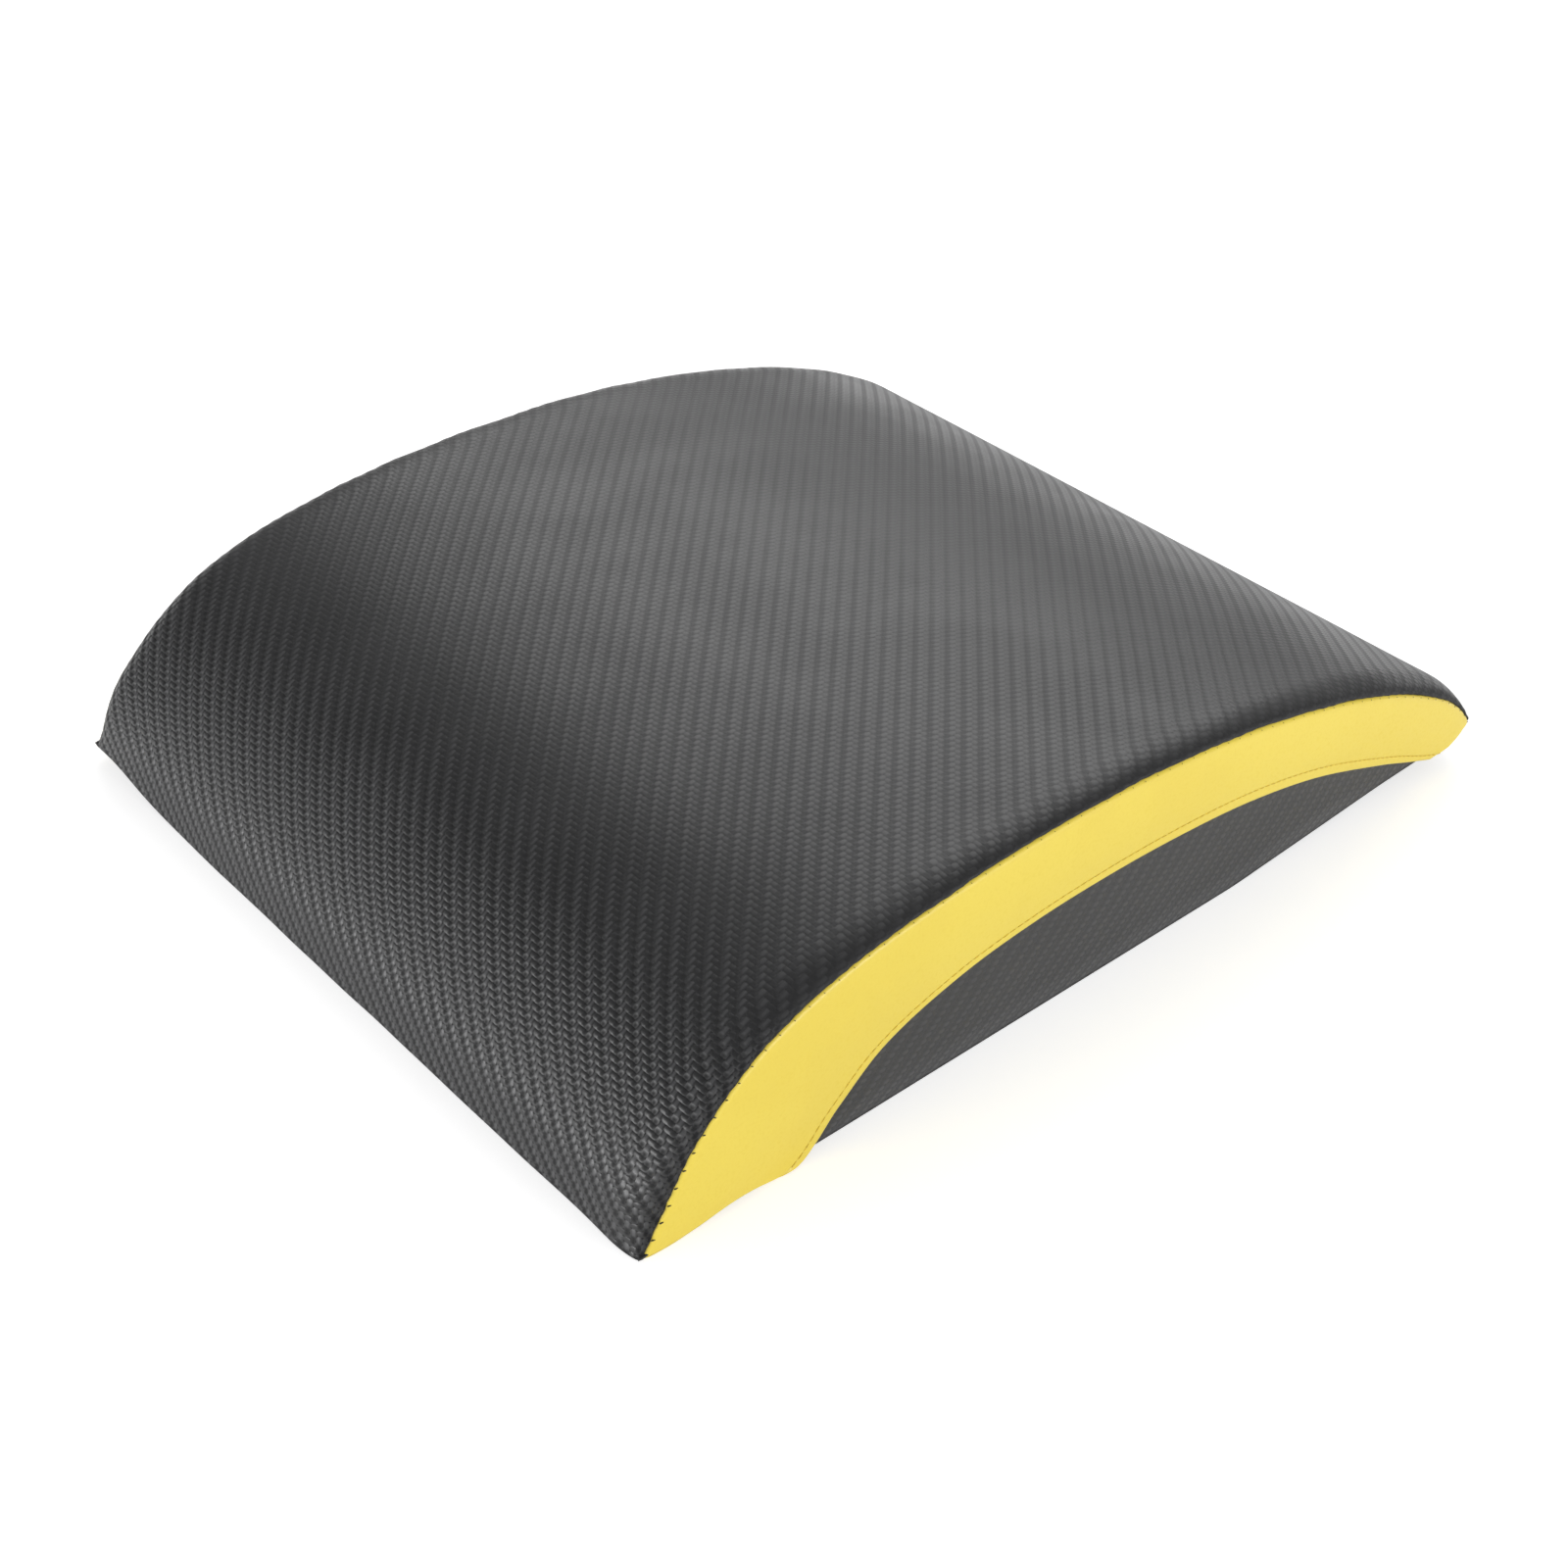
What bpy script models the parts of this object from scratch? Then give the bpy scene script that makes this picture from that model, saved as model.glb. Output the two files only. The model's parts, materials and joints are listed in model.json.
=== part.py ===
"""Ab mat: an arched foam core in a sewn vinyl cover that closes with a zip across its base.

Metres, +Z up, with the origin on the floor at the middle of the footprint. -X is the steep front,
+X is the thin tapered end, and the width runs along Y. The cover is a top panel that wraps from the
front to under the nose, a side panel with a yellow band on each side, and a base in two panels,
whose folded edges are drawn up to make room for the zip.
"""

from itertools import pairwise
from math import atan2, cos, hypot, pi, sin

import bmesh
import bpy
import numpy as np
from mathutils import Vector
from mathutils.geometry import interpolate_bezier

MM = 0.001

# Whole pad
LENGTH = 381 * MM
SEAM_WIDTH = 300 * MM
HEIGHT = 77.4 * MM
COVER = 1.2 * MM
GAP = 0.3 * MM
SKIN_LIFT = 0.4 * MM

# Rolled edge of the top panel, from its flat middle to its side seams
ROLL_WIDTH = 11 * MM
ROLL_DROP = 8 * MM
FOAM_ROLL_SPREAD = 1.0 * MM
INWARD_REACH = 8 * MM

# Yellow bands on the two sides
BAND_CROWN = 1.4 * MM
BAND_SEAM_STEP = 0.3 * MM

# Base beside the zip, and how far short of the sides the zip's slot ends
SLIDER_CLEARANCE = 0.5 * MM
FOLD_WIDTH = 10 * MM
FOLD_SOFTENING = 0.5 * MM
DIP_SHOULDER = 3.5 * MM
DIP_RAMP = 18 * MM
DIP_SIDE_MARGIN = 6 * MM
DIP_FADE = 12 * MM
SLOT_END_MARGIN = 12 * MM
SLOT_CLOSING = 5 * MM
GROOVE_MARGIN = 1.5 * MM
FLOOR_CLEARANCE = 0.7 * MM

# Zip chain
TAPE = 0.6 * MM
TAPE_WIDTH = 13 * MM
TAPE_OVERRUN = 6 * MM
END_TAB_LENGTH = 9 * MM
CHAIN_THICKNESS = 2.4 * MM
SPINE_WIDTH = 0.95 * MM
SPINE_HALF_GAP = 1.9 * MM
TOOTH_PITCH = 3.0 * MM
TOOTH_ROOT_WIDTH = 0.7 * MM
TOOTH_HEAD_WIDTH = 1.4 * MM
TOOTH_OVERLAP = 0.75 * MM

# Zip slider
SLIDER_LENGTH = 11 * MM
SLIDER_FLARE = 1.0 * MM
SLIDER_CHAMFER = 0.7 * MM
SLIDER_PLATE = 0.9 * MM
FLANGE_WIDTH = 1.0 * MM
FLANGE_CLEARANCE = 0.45 * MM
DIAMOND_WIDTH = 3.2 * MM
DIAMOND_LENGTH = 4.0 * MM
BAIL_WIDTH = 1.6 * MM
BAIL_WIRE = 0.9 * MM
BAIL_INNER_LENGTH = 5.0 * MM

# Pull tab
TAB_THICKNESS = 1.2 * MM
TAB_LENGTH = 18 * MM
TAB_WIDTH = 6.6 * MM
TAB_RAIL = 1.1 * MM
TAB_HOLE_LENGTH = 5.5 * MM
TAB_HOLE_WIDTH = 2.6 * MM
EYE_CLEARANCE = 0.5 * MM
PIVOT_CLEARANCE = 0.4 * MM

# Stops at the ends of the chain
STOP_LENGTH = 2.4 * MM
STOP_OVERHANG = 1.25 * MM
STOP_THICKNESS = 2.6 * MM

# Side view of the pad, as shares of half the length and of the height. The arch runs from the toe
# over the crest to the seam under the nose, and the sole from there back to the toe.
ARCH_SHARES = (
    (-1.000, 0.000),
    (-0.980, 0.248),
    (-0.903, 0.509),
    (-0.787, 0.724),
    (-0.630, 0.870),
    (-0.420, 0.959),
    (-0.210, 0.995),
    (0.000, 0.998),
    (0.210, 0.961),
    (0.420, 0.877),
    (0.630, 0.747),
    (0.787, 0.600),
    (0.924, 0.412),
    (1.000, 0.195),
    (0.985, 0.130),
    (0.955, 0.096),
)
SOLE_SHARES = (
    (0.866, 0.082),
    (0.735, 0.068),
    (0.577, 0.041),
    (0.420, 0.015),
    (0.315, 0.000),
    (-1.000, 0.000),
)
HEM_SHARES = (
    (-0.672, 0.000),
    (-0.614, 0.168),
    (-0.520, 0.353),
    (-0.370, 0.475),
    (-0.210, 0.530),
    (-0.040, 0.545),
    (0.136, 0.532),
    (0.315, 0.490),
    (0.500, 0.400),
    (0.698, 0.244),
    (0.800, 0.150),
    (0.871, 0.085),
)

# How far the rolled edge has dropped at its seam: share of the arch's length, share of ROLL_DROP
ROLL_DROP_SHARES = (
    (0.000, 0.25),
    (0.035, 1.00),
    (0.100, 0.82),
    (0.170, 0.54),
    (0.250, 0.42),
    (0.450, 0.40),
    (0.600, 0.49),
    (0.750, 0.55),
    (0.880, 0.62),
    (0.930, 0.52),
    (0.962, 0.28),
    (1.000, 0.25),
)

# Section of the yellow band, from its hem to the top seam: share of its width, share of its crown
BAND_SECTION_SHARES = (
    (0.00, 0.10),
    (0.03, 0.45),
    (0.15, 0.60),
    (0.35, 0.88),
    (0.60, 1.00),
    (0.82, 0.80),
    (0.94, 0.45),
    (1.00, 0.00),
)
SIDE_PANEL_SHARE = 0.9
BEND_SHARE = 0.55
WELD_SHARE = 0.01
GROOVE_EDGE_SHARE = 0.1
CLEAR_STEPS = 100

# Side of the slider from tail to mouth: share of its flare, share of its length
SLIDER_SIDE_SHARES = ((0.0, -0.44), (0.0, -0.38), (1.0, -0.05), (1.0, 0.44))

# Diamond from its tip between the two rows: share of its width, share of its length
DIAMOND_SHARES = ((0.0, 0.0), (0.5, 0.55), (0.42, 1.0), (-0.42, 1.0), (-0.5, 0.55))

SPAN_STEPS = 10
ARCH_STATIONS = 52
ROLL_STEPS = 5
FOAM_ROLL_STEPS = 4
SOLE_STATIONS = 12
DIP_STEPS = 5
FADE_STEPS = 5
CORNER_STEPS = 4
PIVOT_SIDES = 12
SHARP_ANGLE = pi / 5

# Layers of the cover, from the seams inwards
HALF_LENGTH = LENGTH / 2
HALF_SEAM = SEAM_WIDTH / 2
SHEET = COVER + GAP
FOLD = 2 * COVER
FLAT_HALF = HALF_SEAM - ROLL_WIDTH
BAND_SEAT = HALF_SEAM - GAP - BAND_SEAM_STEP - COVER
PANEL_OUTER = BAND_SEAT - GAP
PANEL_INNER = PANEL_OUTER - COVER
FOAM_HALF = PANEL_INNER - GAP

# Across the zip, from its middle outwards
SPINE_OUTER = SPINE_HALF_GAP + SPINE_WIDTH
TAPE_INNER = SPINE_OUTER + GAP
TAPE_OUTER = TAPE_INNER + TAPE_WIDTH
SLIDER_TAIL_HALF = SPINE_OUTER + FLANGE_CLEARANCE + FLANGE_WIDTH
SLIDER_HALF = SLIDER_TAIL_HALF + SLIDER_FLARE
SLOT_HALF_WIDTH = SLIDER_HALF + SLIDER_CLEARANCE
FOLD_END = SLOT_HALF_WIDTH + FOLD_WIDTH
SHELF_HALF = max(TAPE_OUTER, FOLD_END) + GAP
DIP_FLAT = SHELF_HALF + DIP_SHOULDER
DIP_REACH = DIP_FLAT + DIP_RAMP

# Up through the zip, from the floor to the tapes
SLIDER_GAP = CHAIN_THICKNESS / 2 + GAP
SLIDER_OUTER = SLIDER_GAP + SLIDER_PLATE
PIVOT_RADIUS = TAB_THICKNESS / 2
BAIL_DEPTH = PIVOT_RADIUS + PIVOT_CLEARANCE
PIVOT_Z = FLOOR_CLEARANCE + BAIL_WIRE + BAIL_DEPTH
TAPE_Z = PIVOT_Z + BAIL_DEPTH + SLIDER_OUTER
DIP = TAPE_Z - TAPE / 2 - GAP - FOLD

# Along the zip, from the sides inwards
FADE_END = PANEL_OUTER - DIP_SIDE_MARGIN
FADE_START = FADE_END - DIP_FADE
SLOT_HALF = FADE_START - SLOT_END_MARGIN
TAPE_HALF_LENGTH = SLOT_HALF + TAPE_OVERRUN
STOP_Y = SLOT_HALF - GAP - STOP_LENGTH / 2
SLIDER_Y = STOP_Y - STOP_LENGTH / 2 - GAP - SLIDER_LENGTH / 2
CHAIN_TOP = SLIDER_Y + GAP
BOTTOM_STOP_Y = -SLOT_HALF + GAP + TAB_LENGTH - SLIDER_LENGTH / 2 - STOP_LENGTH / 2
CHAIN_BOTTOM = BOTTOM_STOP_Y + STOP_LENGTH / 2 + GAP

COLLECTION = "ab_mat"
CUTTERS = "ab_mat_cutters"
TURNS = {"XY": (0, 0, 0), "XZ": (pi / 2, 0, 0), "YZ": (pi / 2, 0, pi / 2)}


def smooth(points):
    """A smooth curve through points, as a polyline: Bezier spans with Catmull-Rom tangents."""
    points = [Vector((x, z, 0)) for x, z in points]
    neighbours = zip(points[:1] + points, points[1:] + points[-1:])
    tangents = [(after - before).normalized() for before, after in neighbours]
    curve = [points[0]]
    for (start, leaving), (end, arriving) in pairwise(zip(points, tangents)):
        reach = (end - start).length / 3
        handles = start + leaving * reach, end - arriving * reach
        curve += interpolate_bezier(start, *handles, end, SPAN_STEPS + 1)[1:]
    return np.array(curve)[:, :2]


def scaled(shares):
    """Side-view points in metres from shares of half the length and of the height."""
    return [(x * HALF_LENGTH, z * HEIGHT) for x, z in shares]


def side_outline():
    """The pad's arch and its sole in side view, fitted to the pad's length and height."""
    curve = smooth(scaled(ARCH_SHARES + SOLE_SHARES))
    curve[:, 1] = np.maximum(curve[:, 1], 0)
    low, high = curve.min(axis=0), curve.max(axis=0)
    curve = (curve - low) / (high - low) * (LENGTH, HEIGHT) - (HALF_LENGTH, 0)
    seam = SPAN_STEPS * (len(ARCH_SHARES) - 1)
    return curve[: seam + 1], curve[seam:]


def step_lengths(curve):
    return np.linalg.norm(np.diff(curve, axis=0), axis=1)


def run_shares(curve):
    """Each point's distance along a polyline, as a share of the whole."""
    steps = step_lengths(curve)
    return np.append(0, np.cumsum(steps)) / steps.sum()


def read_along(curve, values, shares):
    """Pairs given for each point of a polyline, read at shares of its length."""
    run = run_shares(curve)
    return np.column_stack([np.interp(shares, run, column) for column in values.T])


def directions(curve):
    """Unit vectors along a polyline."""
    steps = np.gradient(curve, axis=0)
    return steps / np.linalg.norm(steps, axis=1)[:, None]


def bend_stations(curve, count):
    """Shares of a polyline's length, closer together where it bends."""
    run = run_shares(curve)
    angle = np.unwrap([atan2(z, x) for x, z in directions(curve)])
    turned = np.append(0, np.cumsum(np.abs(np.diff(angle))))
    measure = (1 - BEND_SHARE) * run + BEND_SHARE * turned / turned[-1]
    return np.interp(np.linspace(0, 1, count), measure, run)


def inward_directions(curve):
    """Unit vectors into the pad, which turn early round the nose so that inner layers don't fold."""
    run = run_shares(curve)
    reach = np.minimum(INWARD_REACH / step_lengths(curve).sum(), np.minimum(run, 1 - run))
    reach = np.maximum(reach, run[1])
    ahead = read_along(curve, curve, np.minimum(run + reach, 1))
    behind = read_along(curve, curve, np.maximum(run - reach, 0))
    across = (ahead - behind) @ np.array(((0, -1), (1, 0)))
    return across / np.linalg.norm(across, axis=1)[:, None]


ARCH, SOLE = side_outline()
ARCH_LENGTH = step_lengths(ARCH).sum()
ARCH_INWARD = inward_directions(ARCH)
HEM = smooth(scaled(HEM_SHARES))
REAR_SEAM_X = ARCH[-1][0]
STATIONS = bend_stations(ARCH, ARCH_STATIONS)


def sole(x):
    """Height of the underside above the floor."""
    return np.interp(x, *SOLE[::-1].T)


def arch(shares, depths):
    """Points of the arch moved in by depths."""
    inward = read_along(ARCH, ARCH_INWARD, shares)
    return read_along(ARCH, ARCH, shares) + inward * np.reshape(depths, (-1, 1))


REAR_END_X = arch([1, 1], [0, COVER])[:, 0].min() - GAP


def above_sole(points, lift):
    """Side-view points kept at least this far above the underside."""
    points = np.array(points)
    points[:, 1] = np.maximum(points[:, 1], sole(points[:, 0]) + lift)
    return points


def sole_line(start, end):
    """Points on top of the base, between two places along the length."""
    x = np.linspace(start, end, SOLE_STATIONS + 2)[1:-1]
    return np.column_stack([x, sole(x) + SHEET])


def roll_drop(shares):
    """How far the top panel's outer face has dropped where it meets the side seam."""
    return ROLL_DROP * np.interp(shares, *np.array(ROLL_DROP_SHARES).T)


def quarter(share, start, width, top, bottom):
    """A point of a quarter ellipse that leaves level at (start, top) and ends upright at bottom."""
    turn = share * pi / 2
    return start + width * sin(turn), top + (bottom - top) * (1 - cos(turn))


def eased(share):
    """A share between 0 and 1 that starts and ends level."""
    share = np.clip(share, 0, 1)
    return share**2 * (3 - 2 * share)


def dip(x):
    """How far the base is drawn up beside the zip, away from the zip's ends."""
    return DIP * eased((DIP_REACH - x) / DIP_RAMP)


def dip_fade(y):
    """1 along the zip, falling to 0 beyond its ends."""
    return eased((FADE_END - abs(y)) / DIP_FADE)


def collection(name):
    made = bpy.data.collections.new(name)
    bpy.context.scene.collection.children.link(made)


def material(name, colour, roughness, metallic=0.0):
    made = bpy.data.materials.new(name)
    made.use_nodes = True
    surface = made.node_tree.nodes["Principled BSDF"]
    surface.inputs["Base Color"].default_value = (*colour, 1)
    surface.inputs["Roughness"].default_value = roughness
    surface.inputs["Metallic"].default_value = metallic
    made.diffuse_color = (*colour, 1)
    return made


def add_mesh(name, mesh, finish, group=COLLECTION):
    """A bmesh as an object, with its faces turned out."""
    bmesh.ops.recalc_face_normals(mesh, faces=mesh.faces)
    if mesh.calc_volume(signed=True) < 0:
        bmesh.ops.reverse_faces(mesh, faces=mesh.faces)
    data = bpy.data.meshes.new(name)
    mesh.to_mesh(data)
    mesh.free()
    made = bpy.data.objects.new(name, data)
    bpy.data.collections[group].objects.link(made)
    if finish:
        data.materials.append(finish)
    return made


def loft(name, sections, finish, group=COLLECTION):
    """A closed solid through sections, each a ring of as many points, with flat ends."""
    mesh = bmesh.new()
    rings = [[mesh.verts.new(point) for point in section] for section in sections]
    for ring, following in pairwise(rings):
        for i in range(len(ring)):
            mesh.faces.new((ring[i - 1], ring[i], following[i], following[i - 1]))
    mesh.faces.new(rings[0])
    mesh.faces.new(rings[-1])
    made = add_mesh(name, mesh, finish, group)
    made.data.shade_smooth()
    made.data.set_sharp_from_angle(angle=SHARP_ANGLE)
    return made


def box(name, low, high, finish):
    mesh = bmesh.new()
    bmesh.ops.create_cube(mesh, size=1)
    low, high = Vector(low), Vector(high)
    bmesh.ops.scale(mesh, vec=high - low, verts=mesh.verts)
    bmesh.ops.translate(mesh, vec=(low + high) / 2, verts=mesh.verts)
    return add_mesh(name, mesh, finish)


def sheet(name, outlines, thickness, plane, centre, finish, group=COLLECTION):
    """A flat outline, with any holes, in a plane through centre, as a mesh object.

    The curve is drawn in millimetres and scaled down, so that small outlines fill cleanly.
    """
    data = bpy.data.curves.new(name, "CURVE")
    data.dimensions = "2D"
    data.fill_mode = "BOTH"
    data.extrude = thickness / 2 / MM
    for outline in outlines:
        spline = data.splines.new("POLY")
        spline.points.add(len(outline) - 1)
        for point, (across, along) in zip(spline.points, outline):
            point.co = (across / MM, along / MM, 0, 1)
        spline.use_cyclic_u = True
    curve = bpy.data.objects.new(name + "_outline", data)
    curve.scale = (MM, MM, MM)
    curve.rotation_euler = TURNS[plane]
    curve.location = centre
    bpy.context.scene.collection.objects.link(curve)
    bpy.context.view_layer.update()
    evaluated = curve.evaluated_get(bpy.context.evaluated_depsgraph_get())
    mesh = bmesh.new()
    mesh.from_mesh(bpy.data.meshes.new_from_object(evaluated))
    mesh.transform(curve.matrix_world)
    bmesh.ops.remove_doubles(mesh, verts=mesh.verts, dist=GAP * WELD_SHARE)
    bpy.data.objects.remove(curve)
    return add_mesh(name, mesh, finish, group)


def thick_polygon(name, outline, thickness, level, finish):
    """One many-sided face, level and extruded upwards, for an outline with hundreds of points."""
    mesh = bmesh.new()
    low = level - thickness / 2
    face = mesh.faces.new([mesh.verts.new((x, y, low)) for x, y in outline])
    extruded = bmesh.ops.extrude_face_region(mesh, geom=[face], use_keep_orig=True)["geom"]
    raised = [part for part in extruded if isinstance(part, bmesh.types.BMVert)]
    bmesh.ops.translate(mesh, vec=(0, 0, thickness), verts=raised)
    return add_mesh(name, mesh, finish)


def attach(child, holder):
    """Parents an object where it stands."""
    child.parent = holder
    child.matrix_parent_inverse = holder.matrix_world.inverted()


def combine(target, others, operation):
    """Joins or cuts a mesh with helpers, which move with it and are left out of the result."""
    for other in others:
        step = target.modifiers.new(other.name, "BOOLEAN")
        step.operation = operation
        step.object = other
        other.hide_render = True
        other.display_type = "WIRE"
        attach(other, target)
    return target


def mirrored(points):
    """A closed outline from its +X half, listed along Y."""
    return list(points) + [(-x, y) for x, y in reversed(points)]


def rounded_end(half_width, end):
    """Points round an end at -Y, from +X to -X."""
    turns = [pi / 2 * step / CORNER_STEPS for step in range(CORNER_STEPS + 1)]
    quadrant = [(half_width * cos(turn), end + half_width * (1 - sin(turn))) for turn in turns]
    return quadrant + [(-x, y) for x, y in reversed(quadrant[:-1])]


def foam_arch(share, stations):
    """The foam's top face, a share of the way round its rolled edge: its place across, its points."""
    start = FLAT_HALF - GAP
    side_depths = SHEET + roll_drop(stations) - COVER + FOAM_ROLL_SPREAD
    y, depths = quarter(share, start, FOAM_HALF - start, SHEET, side_depths)
    return y, arch(stations, depths)


def foam_section(share):
    """A side view of the foam, whose top face starts and ends where it clears the base."""
    fine = np.linspace(0, 1, ARCH_STATIONS * CLEAR_STEPS)
    _, line = foam_arch(share, fine)
    clear = fine[line[:, 1] > sole(line[:, 0]) + SHEET]
    y, top = foam_arch(share, clear[0] + (clear[-1] - clear[0]) * STATIONS)
    return [(x, y, z) for x, z in np.vstack([top, sole_line(REAR_SEAM_X, -HALF_LENGTH)])]


def make_foam_core(foam):
    """The moulded foam, inset from the cover, with rounded long edges and a groove over the zip."""
    sections = [foam_section(step / FOAM_ROLL_STEPS) for step in range(FOAM_ROLL_STEPS + 1)]
    opposite = [[(x, -y, z) for x, y, z in section] for section in reversed(sections)]
    core = loft("foam_core", opposite + sections, foam)
    return combine(core, [make_groove_cutter()], "DIFFERENCE")


def make_groove_cutter():
    """Room above the drawn-up base, the tapes and the slider."""
    slider_top = TAPE_Z + SLIDER_OUTER + GAP
    slider_side = SLIDER_HALF + 2 * SLIDER_CLEARANCE
    shelf = TAPE_Z + TAPE / 2 + GAP
    edge = DIP_REACH - DIP_RAMP * GROOVE_EDGE_SHARE
    ramp = [*np.linspace(DIP_FLAT, DIP_REACH, DIP_STEPS + 1)[:-1], edge]
    profile = [(slider_side, slider_top), (slider_side, shelf), (SHELF_HALF, shelf)]
    profile += [(x, dip(x) + SHEET) for x in ramp] + [(edge, -SHEET)]
    profile = [(-x, z) for x, z in reversed(profile)] + profile
    ends = (-FADE_END - GROOVE_MARGIN, FADE_END + GROOVE_MARGIN)
    return loft("groove_cutter", [[(x, y, z) for x, z in profile] for y in ends], None, CUTTERS)


def roll_section(width, top, bottom):
    """One face of the top panel across the pad: level in the middle, rolled over at both sides."""
    shares = [step / ROLL_STEPS for step in range(ROLL_STEPS + 1)]
    half = [quarter(share, FLAT_HALF, width, top, bottom) for share in shares]
    return [(-y, depth) for y, depth in reversed(half)] + half


def make_top_panel(vinyl):
    """One sheet over the arch, from just above the floor at the toe to the seam under the nose."""
    sections = []
    for share, drop in zip(STATIONS, roll_drop(STATIONS)):
        ring = roll_section(ROLL_WIDTH, 0, drop) + roll_section(ROLL_WIDTH - COVER, COVER, drop)[::-1]
        side = arch([share] * len(ring), [depth for _, depth in ring])
        sections.append([(x, y, max(z, SKIN_LIFT)) for (x, z), (y, _) in zip(side, ring)])
    return loft("top_panel", sections, vinyl)


def make_side(name, direction, vinyl, yellow):
    """A side of the cover: the full panel, and the yellow band sewn on it along the arch."""
    hem = above_sole(read_along(HEM, HEM, STATIONS), SKIN_LIFT)
    seam = above_sole(arch(STATIONS, roll_drop(STATIONS) + GAP), SKIN_LIFT)
    upper = above_sole(hem + (seam - hem) * SIDE_PANEL_SHARE, SHEET)
    outline = np.vstack([upper, sole_line(upper[-1][0], upper[0][0])])
    centre = (0, direction * (PANEL_INNER + PANEL_OUTER) / 2, 0)
    sheet("side_panel_" + name, [outline], COVER, "XZ", centre, vinyl)
    ring = [(1, BAND_SEAT), (0, BAND_SEAT)]
    for share, crown in BAND_SECTION_SHARES:
        ring.append((share, BAND_SEAT + COVER + BAND_SEAM_STEP * share + BAND_CROWN * crown))
    sections = []
    for low, high in zip(hem, seam):
        points = [(low + (high - low) * share, direction * y) for share, y in ring]
        sections.append([(x, y, z) for (x, z), y in points])
    return loft("side_band_" + name, sections, yellow)


def base_stations():
    """Places across the pad where the base changes: its sides, the dip's fade, the slot's ends."""
    fade = list(np.linspace(FADE_END, FADE_START, FADE_STEPS))
    half = [PANEL_OUTER] + fade + [SLOT_HALF + SLOT_CLOSING, SLOT_HALF]
    return [-y for y in half] + half[::-1]


def base_end(y, direction):
    """Outer end of a base panel: square under the nose, rounded with the top panel at the toe."""
    if direction > 0:
        return REAR_END_X
    reach = np.clip((abs(y) - FLAT_HALF) / (ROLL_WIDTH - COVER), 0, 1)
    drop = roll_drop(SHEET / ARCH_LENGTH)
    return HALF_LENGTH - SHEET - (drop - COVER) * (1 - (1 - reach**2) ** 0.5)


def make_base_panel(name, direction, vinyl):
    """Half of the base, from its outer seam to a folded edge beside the zip."""
    ramp = list(np.linspace(DIP_FLAT, DIP_REACH, DIP_STEPS + 1))
    rise = [x for x, _ in scaled(SOLE_SHARES[-2::-1])] if direction > 0 else []
    sections = []
    for y in base_stations():
        fade = dip_fade(y)
        opening = np.clip((SLOT_HALF + SLOT_CLOSING - abs(y)) / SLOT_CLOSING, 0, 1)
        edge = GAP + (SLOT_HALF_WIDTH - GAP) * opening
        across = [edge, FOLD_END, FOLD_END + FOLD_SOFTENING, *ramp, *rise, base_end(y, direction)]
        lower = [(x, max(sole(direction * x), dip(x) * fade)) for x in across]
        thickness = [COVER + (FOLD - COVER) * fade] * 2 + [COVER] * (len(across) - 2)
        upper = [(x, z + thick) for (x, z), thick in zip(lower, thickness)]
        sections.append([(direction * x, y, z) for x, z in lower[::-1] + upper])
    return loft("base_panel_" + name, sections, vinyl)


def make_zip_side(name, direction, tape, plastic):
    """A tape, its row of teeth and its top stop."""
    inner, outer = sorted((direction * TAPE_INNER, direction * TAPE_OUTER))
    low = (inner, -TAPE_HALF_LENGTH, TAPE_Z - TAPE / 2)
    high = (outer, TAPE_HALF_LENGTH, TAPE_Z + TAPE / 2)
    box("zip_tape_" + name, low, high, tape)
    outline = [(direction * x, y) for x, y in teeth_outline(0 if direction > 0 else TOOTH_PITCH / 2)]
    thick_polygon("zip_teeth_" + name, outline, CHAIN_THICKNESS, TAPE_Z, plastic)
    clip = stop_clip()
    root = SPINE_HALF_GAP - SPINE_WIDTH / 2
    outline = [(direction * x, z) for x, z in [(root, clip[0][1])] + clip + [(root, clip[-1][1])]]
    sheet("zip_top_stop_" + name, [outline], STOP_LENGTH, "XZ", (0, STOP_Y, TAPE_Z), plastic)


def teeth_outline(offset):
    """One row on its moulded spine: each tooth widens towards a head that hooks the other row."""
    first = CHAIN_BOTTOM + TOOTH_HEAD_WIDTH / 2 + offset
    outline = [(SPINE_OUTER, CHAIN_TOP), (SPINE_OUTER, CHAIN_BOTTOM), (SPINE_HALF_GAP, CHAIN_BOTTOM)]
    for centre in np.arange(first, CHAIN_TOP - TOOTH_HEAD_WIDTH / 2, TOOTH_PITCH):
        outline += [
            (SPINE_HALF_GAP, centre - TOOTH_ROOT_WIDTH / 2),
            (-TOOTH_OVERLAP, centre - TOOTH_HEAD_WIDTH / 2),
            (-TOOTH_OVERLAP, centre + TOOTH_HEAD_WIDTH / 2),
            (SPINE_HALF_GAP, centre + TOOTH_ROOT_WIDTH / 2),
        ]
    return outline + [(SPINE_HALF_GAP, CHAIN_TOP)]


def stop_clip():
    """The jaws of a stop round the edge of a tape, in XZ about the tape."""
    jaw = TAPE / 2 + GAP
    end = TAPE_INNER + STOP_OVERHANG
    half = STOP_THICKNESS / 2
    return [(end, -half), (end, -jaw), (SPINE_OUTER, -jaw), (SPINE_OUTER, jaw), (end, jaw), (end, half)]


def make_bottom_stop(metal):
    outline = mirrored(stop_clip())
    sheet("zip_bottom_stop", [outline], STOP_LENGTH, "XZ", (0, BOTTOM_STOP_Y, TAPE_Z), metal)


def make_end_tab(name, direction, tape):
    """The patch sewn across the ends of both tapes, between the foam and the base."""
    start = TAPE_HALF_LENGTH + GAP
    near, far = sorted((direction * start, direction * (start + END_TAB_LENGTH)))
    low = (-TAPE_OUTER, near, TAPE_Z - TAPE / 2)
    high = (TAPE_OUTER, far, TAPE_Z + TAPE / 2)
    box("zip_end_tab_" + name, low, high, tape)


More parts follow.
